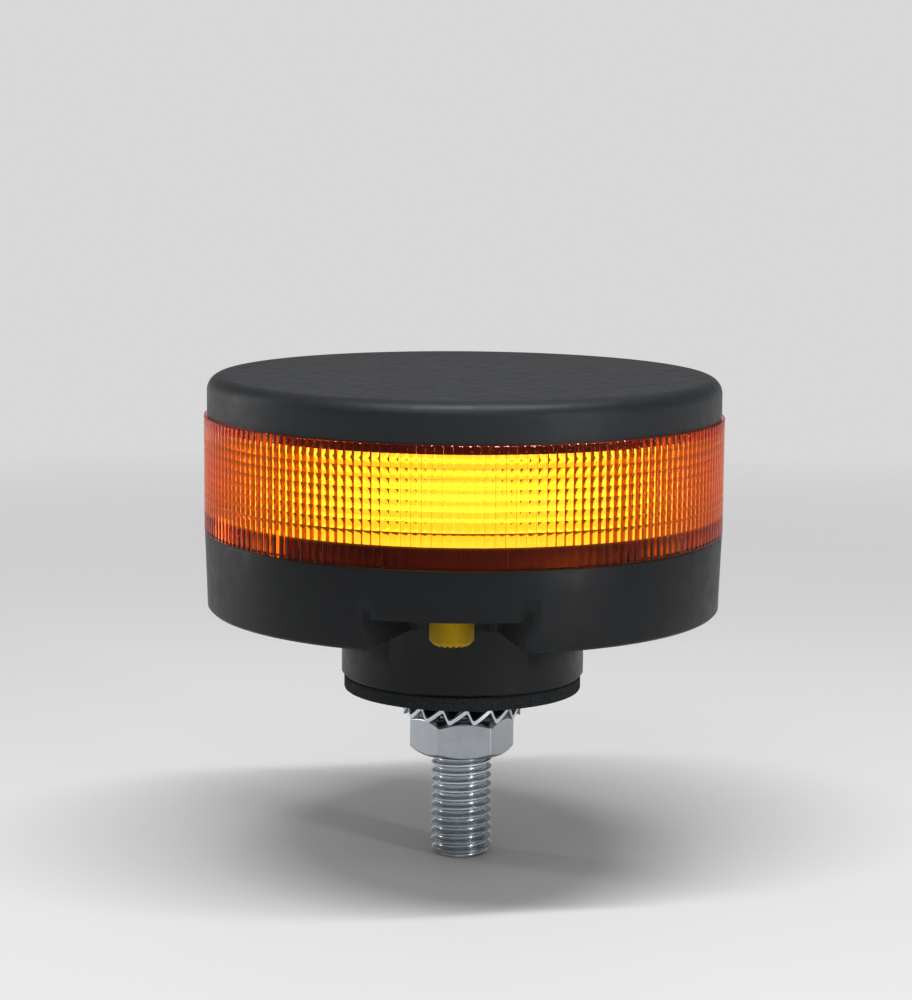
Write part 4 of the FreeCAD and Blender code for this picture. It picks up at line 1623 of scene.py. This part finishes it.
@dataclass
class OutletPlug:
    """The yellow plug in the cable outlet, with a notched grip rim and a grooved stem."""

    head: float = 4.2
    chamfer: float = 0.9
    stem: float = 3.0
    stem_length: float = 5.25
    groove: float = 0.8
    ring_width: float = 1.2
    ring_drop: float = 1.4
    slots: int = 18
    slot_width: float = 0.6
    slot_depth: float = 0.4
    slot_wall: float = 0.004
    rest_of_step: Sequence[float] = (0.35, 0.5, 0.65)
    azimuth: float = math.radians(-3.4)
    edge: float = 0.08
    sharp: float = 35.0
    plastic: MouldedPlastic = MouldedPlastic("plug_plastic", (0.36, 0.225, 0.001),
                                             roughness=0.5, gloss=0.12, grain=1800.0)

    def build(self) -> None:
        """Makes the plug and its sealing ring."""
        low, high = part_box("outlet_plug")
        foot, top = low.z / MM, high.z / MM
        shoulder = top - self.stem_length
        ring_top = top - self.ring_drop
        ring_bottom = ring_top - self.ring_width
        inner = self.head - 2 * self.chamfer
        edge = self.head - self.chamfer
        neck = self.stem - self.groove
        slot_half = self.slot_width / 2 / edge
        step = FULL_TURN / self.slots

        def section(angle: float) -> Profile:
            """The plug's section, cut back in the slots of its rim.

            Args:
                angle: where the section is taken, in radians from +X.

            Returns:
                The section's points in mm.
            """
            local = (angle + step / 2) % step - step / 2
            cut = self.slot_depth if abs(local) < slot_half else 0.0
            return [(0.0, foot), (inner, foot), (inner, foot + cut), (edge + cut, foot + cut),
                    (self.head, foot + self.chamfer), (self.head, shoulder),
                    (self.stem, shoulder), (self.stem, ring_bottom), (neck, ring_bottom),
                    (neck, ring_top), (self.stem, ring_top),
                    (self.stem, top - self.chamfer / 2), (self.stem - self.chamfer / 2, top),
                    (0.0, top)]

        around = [-slot_half - self.slot_wall, -slot_half + self.slot_wall, 0.0,
                  slot_half - self.slot_wall, slot_half + self.slot_wall,
                  *(step * share for share in self.rest_of_step)]
        angles = [k * step + a for k in range(self.slots) for a in around]
        mesh = revolved(section, angles + [angles[0] + FULL_TURN], "plug", closed=False)
        centre = (low + high) / 2
        mesh.transform(Matrix.Translation((centre.x, centre.y, 0.0))
                       @ Matrix.Rotation(self.azimuth, 4, "Z"))
        piece = bevelled(solid_object("plug", mesh), self.edge * MM, self.sharp)
        placed(piece, self.plastic.make(), "plug_yellow", Body.PLUG, "outlet_plug")
        shaded_copy("plug_seal_ring", "plug_ring", Rubber("plug_rubber").make(), "seal_rubber",
                    Body.PLUG)


@dataclass
class MountingSet:
    """Stud, gasket, washers and nut."""

    # Painted shade: the nut's and the plain washer's zinc plate keeps the darker default colour.
    zinc: PlatedSteel = PlatedSteel("zinc_plate")
    # Painted light: the thread's copy of the same zinc plate is lighter than the nut's.
    rolled: PlatedSteel = PlatedSteel("zinc_plate_thread_painted_lighter", (0.53, 0.575, 0.61),
                                      roughness=0.22, lines=(1.0, 1.0, 1.0))

    def build(self, rings: RingOfCopies) -> None:
        """Makes the mounting pieces.

        Args:
            rings: the tree that sets copies round the axis.
        """
        plated = self.zinc.make()
        Stud().build(self.rolled.make())
        Nut().build(plated)
        LockWasher().build(rings)
        shaded_copy("flat_washer", "plain_washer", plated, "zinc_steel", Body.WASHERS)
        Gasket().build()


# ---------------------------------------------------------------- studio

@dataclass(frozen=True)
class Softbox:
    """A rectangular lamp that faces the object: its place and size in metres, its watts."""

    name: str
    place: tuple[float, float, float]
    size: tuple[float, float]
    power: float
    aim: tuple[float, float, float] = (0.0, 0.0, 0.02)

    def build(self) -> None:
        """Makes the lamp."""
        data = bpy.data.lights.new(self.name, "AREA")
        data.shape = "RECTANGLE"
        data.size, data.size_y = self.size
        data.energy = self.power
        lamp = bpy.data.objects.new(self.name, data)
        bpy.context.scene.collection.objects.link(lamp)
        lamp.location = self.place
        ray = Vector(self.aim) - Vector(self.place)
        lamp.rotation_euler = ray.to_track_quat("-Z", "Y").to_euler()


@dataclass
class Studio:
    """Pale floor, soft lamps, pale surroundings and the camera."""

    floor_height: float = -0.0340
    floor_reach: float = 0.9
    floor_segments: int = 96
    floor: FloorPaint = FloorPaint("floor_paint", (0.72, 0.72, 0.72), clear_from=0.22,
                                   clear_to=0.63)
    seen_level: float = 0.86
    ceiling_level: float = 0.26
    ceiling_from: float = 0.02
    ceiling_to: float = 0.22
    fill: float = 0.32
    lamps: Sequence[Softbox] = (
        Softbox("key_box", (-0.20, -0.80, 0.90), (0.8, 0.5), 2.4),
        Softbox("top_strip", (0.03, -0.14, 0.75), (0.70, 0.05), 5.4),
        Softbox("left_strip", (-0.87, 0.37, 0.22), (0.08, 0.6), 1.4),
        Softbox("right_strip", (0.69, -0.65, 0.16), (0.09, 0.6), 2.6),
        Softbox("back_box", (0.1, 1.0, 1.2), (0.9, 0.4), 0.9))
    bounces: int = 14
    glass_bounces: int = 12
    camera_place: tuple[float, float, float] = (0.0, -0.5449, 0.1184)
    pitch: float = math.radians(8.454)
    yaw: float = math.radians(0.160)
    roll: float = math.radians(0.45)
    focal: float = 100.48
    nearest: float = 0.01
    furthest: float = 100.0

    def build(self) -> None:
        """Makes everything round the object."""
        self._floor()
        self._surroundings()
        for lamp in self.lamps:
            lamp.build()
        self._camera()
        view = bpy.context.scene.view_settings
        view.view_transform = "Standard"
        cycles = bpy.context.scene.cycles
        cycles.max_bounces = self.bounces
        cycles.transmission_bounces = self.glass_bounces
        cycles.caustics_reflective = False
        cycles.caustics_refractive = False

    def _floor(self) -> None:
        """A plain pale floor under the stud's tip, which fades into the surroundings."""
        draft = bmesh.new()
        bmesh.ops.create_circle(draft, cap_ends=True, segments=self.floor_segments,
                                radius=self.floor_reach,
                                matrix=Matrix.Translation((0, 0, self.floor_height)))
        mesh = plain_mesh(draft, "floor")
        mesh.materials.append(self.floor.make())
        solid_object("floor", mesh)

    def _surroundings(self) -> None:
        """Pale surroundings, which light the object less than they show.

        Mirrored rays see them darker overhead, as a room's ceiling is.
        """
        world = bpy.data.worlds.new("surroundings")
        bpy.context.scene.world = world
        world.use_nodes = True
        tree = world.node_tree
        tree.nodes.clear()
        lit, mirrored, seen = (tree.nodes.new("ShaderNodeBackground") for _ in range(3))
        lit.inputs["Strength"].default_value = self.fill
        seen.inputs["Strength"].default_value = self.seen_level
        direction = tree.nodes.new("ShaderNodeTexCoord")
        parts = tree.nodes.new("ShaderNodeSeparateXYZ")
        tree.links.new(direction.outputs["Generated"], parts.inputs["Vector"])
        fall = tree.nodes.new("ShaderNodeMapRange")
        tree.links.new(parts.outputs["Z"], fall.inputs["Value"])
        for name, number in (("From Min", self.ceiling_from), ("From Max", self.ceiling_to),
                             ("To Min", self.seen_level), ("To Max", self.ceiling_level)):
            fall.inputs[name].default_value = number
        tree.links.new(fall.outputs["Result"], mirrored.inputs["Strength"])
        path = tree.nodes.new("ShaderNodeLightPath")
        surroundings = lit
        for ray, level in (("Is Glossy Ray", mirrored), ("Is Transmission Ray", mirrored),
                           ("Is Camera Ray", seen)):
            either = tree.nodes.new("ShaderNodeMixShader")
            tree.links.new(path.outputs[ray], either.inputs["Fac"])
            tree.links.new(surroundings.outputs[0], either.inputs[1])
            tree.links.new(level.outputs["Background"], either.inputs[2])
            surroundings = either
        output = tree.nodes.new("ShaderNodeOutputWorld")
        tree.links.new(surroundings.outputs[0], output.inputs["Surface"])

    def _camera(self) -> None:
        """The camera in front of the object, looking slightly down."""
        data = bpy.data.cameras.new("camera")
        data.lens = self.focal
        data.clip_start, data.clip_end = self.nearest, self.furthest
        camera = bpy.data.objects.new("camera", data)
        bpy.context.scene.collection.objects.link(camera)
        turn = (Matrix.Rotation(self.yaw, 4, "Z")
                @ Matrix.Rotation(math.pi / 2 - self.pitch, 4, "X")
                @ Matrix.Rotation(self.roll, 4, "Z"))
        camera.matrix_world = Matrix.Translation(self.camera_place) @ turn
        bpy.context.scene.camera = camera


def main() -> None:
    """Builds the beacon and the studio round it."""
    logging.basicConfig(level=logging.INFO, format="%(name)s: %(message)s")
    rings = RingOfCopies()
    Housing().build()
    LensRing().build(rings)
    LightEngine().build(rings)
    DriverElectronics().build()
    MountingSet().build(rings)
    OutletPlug().build()
    Studio().build()


if __name__ == "__main__":
    main()
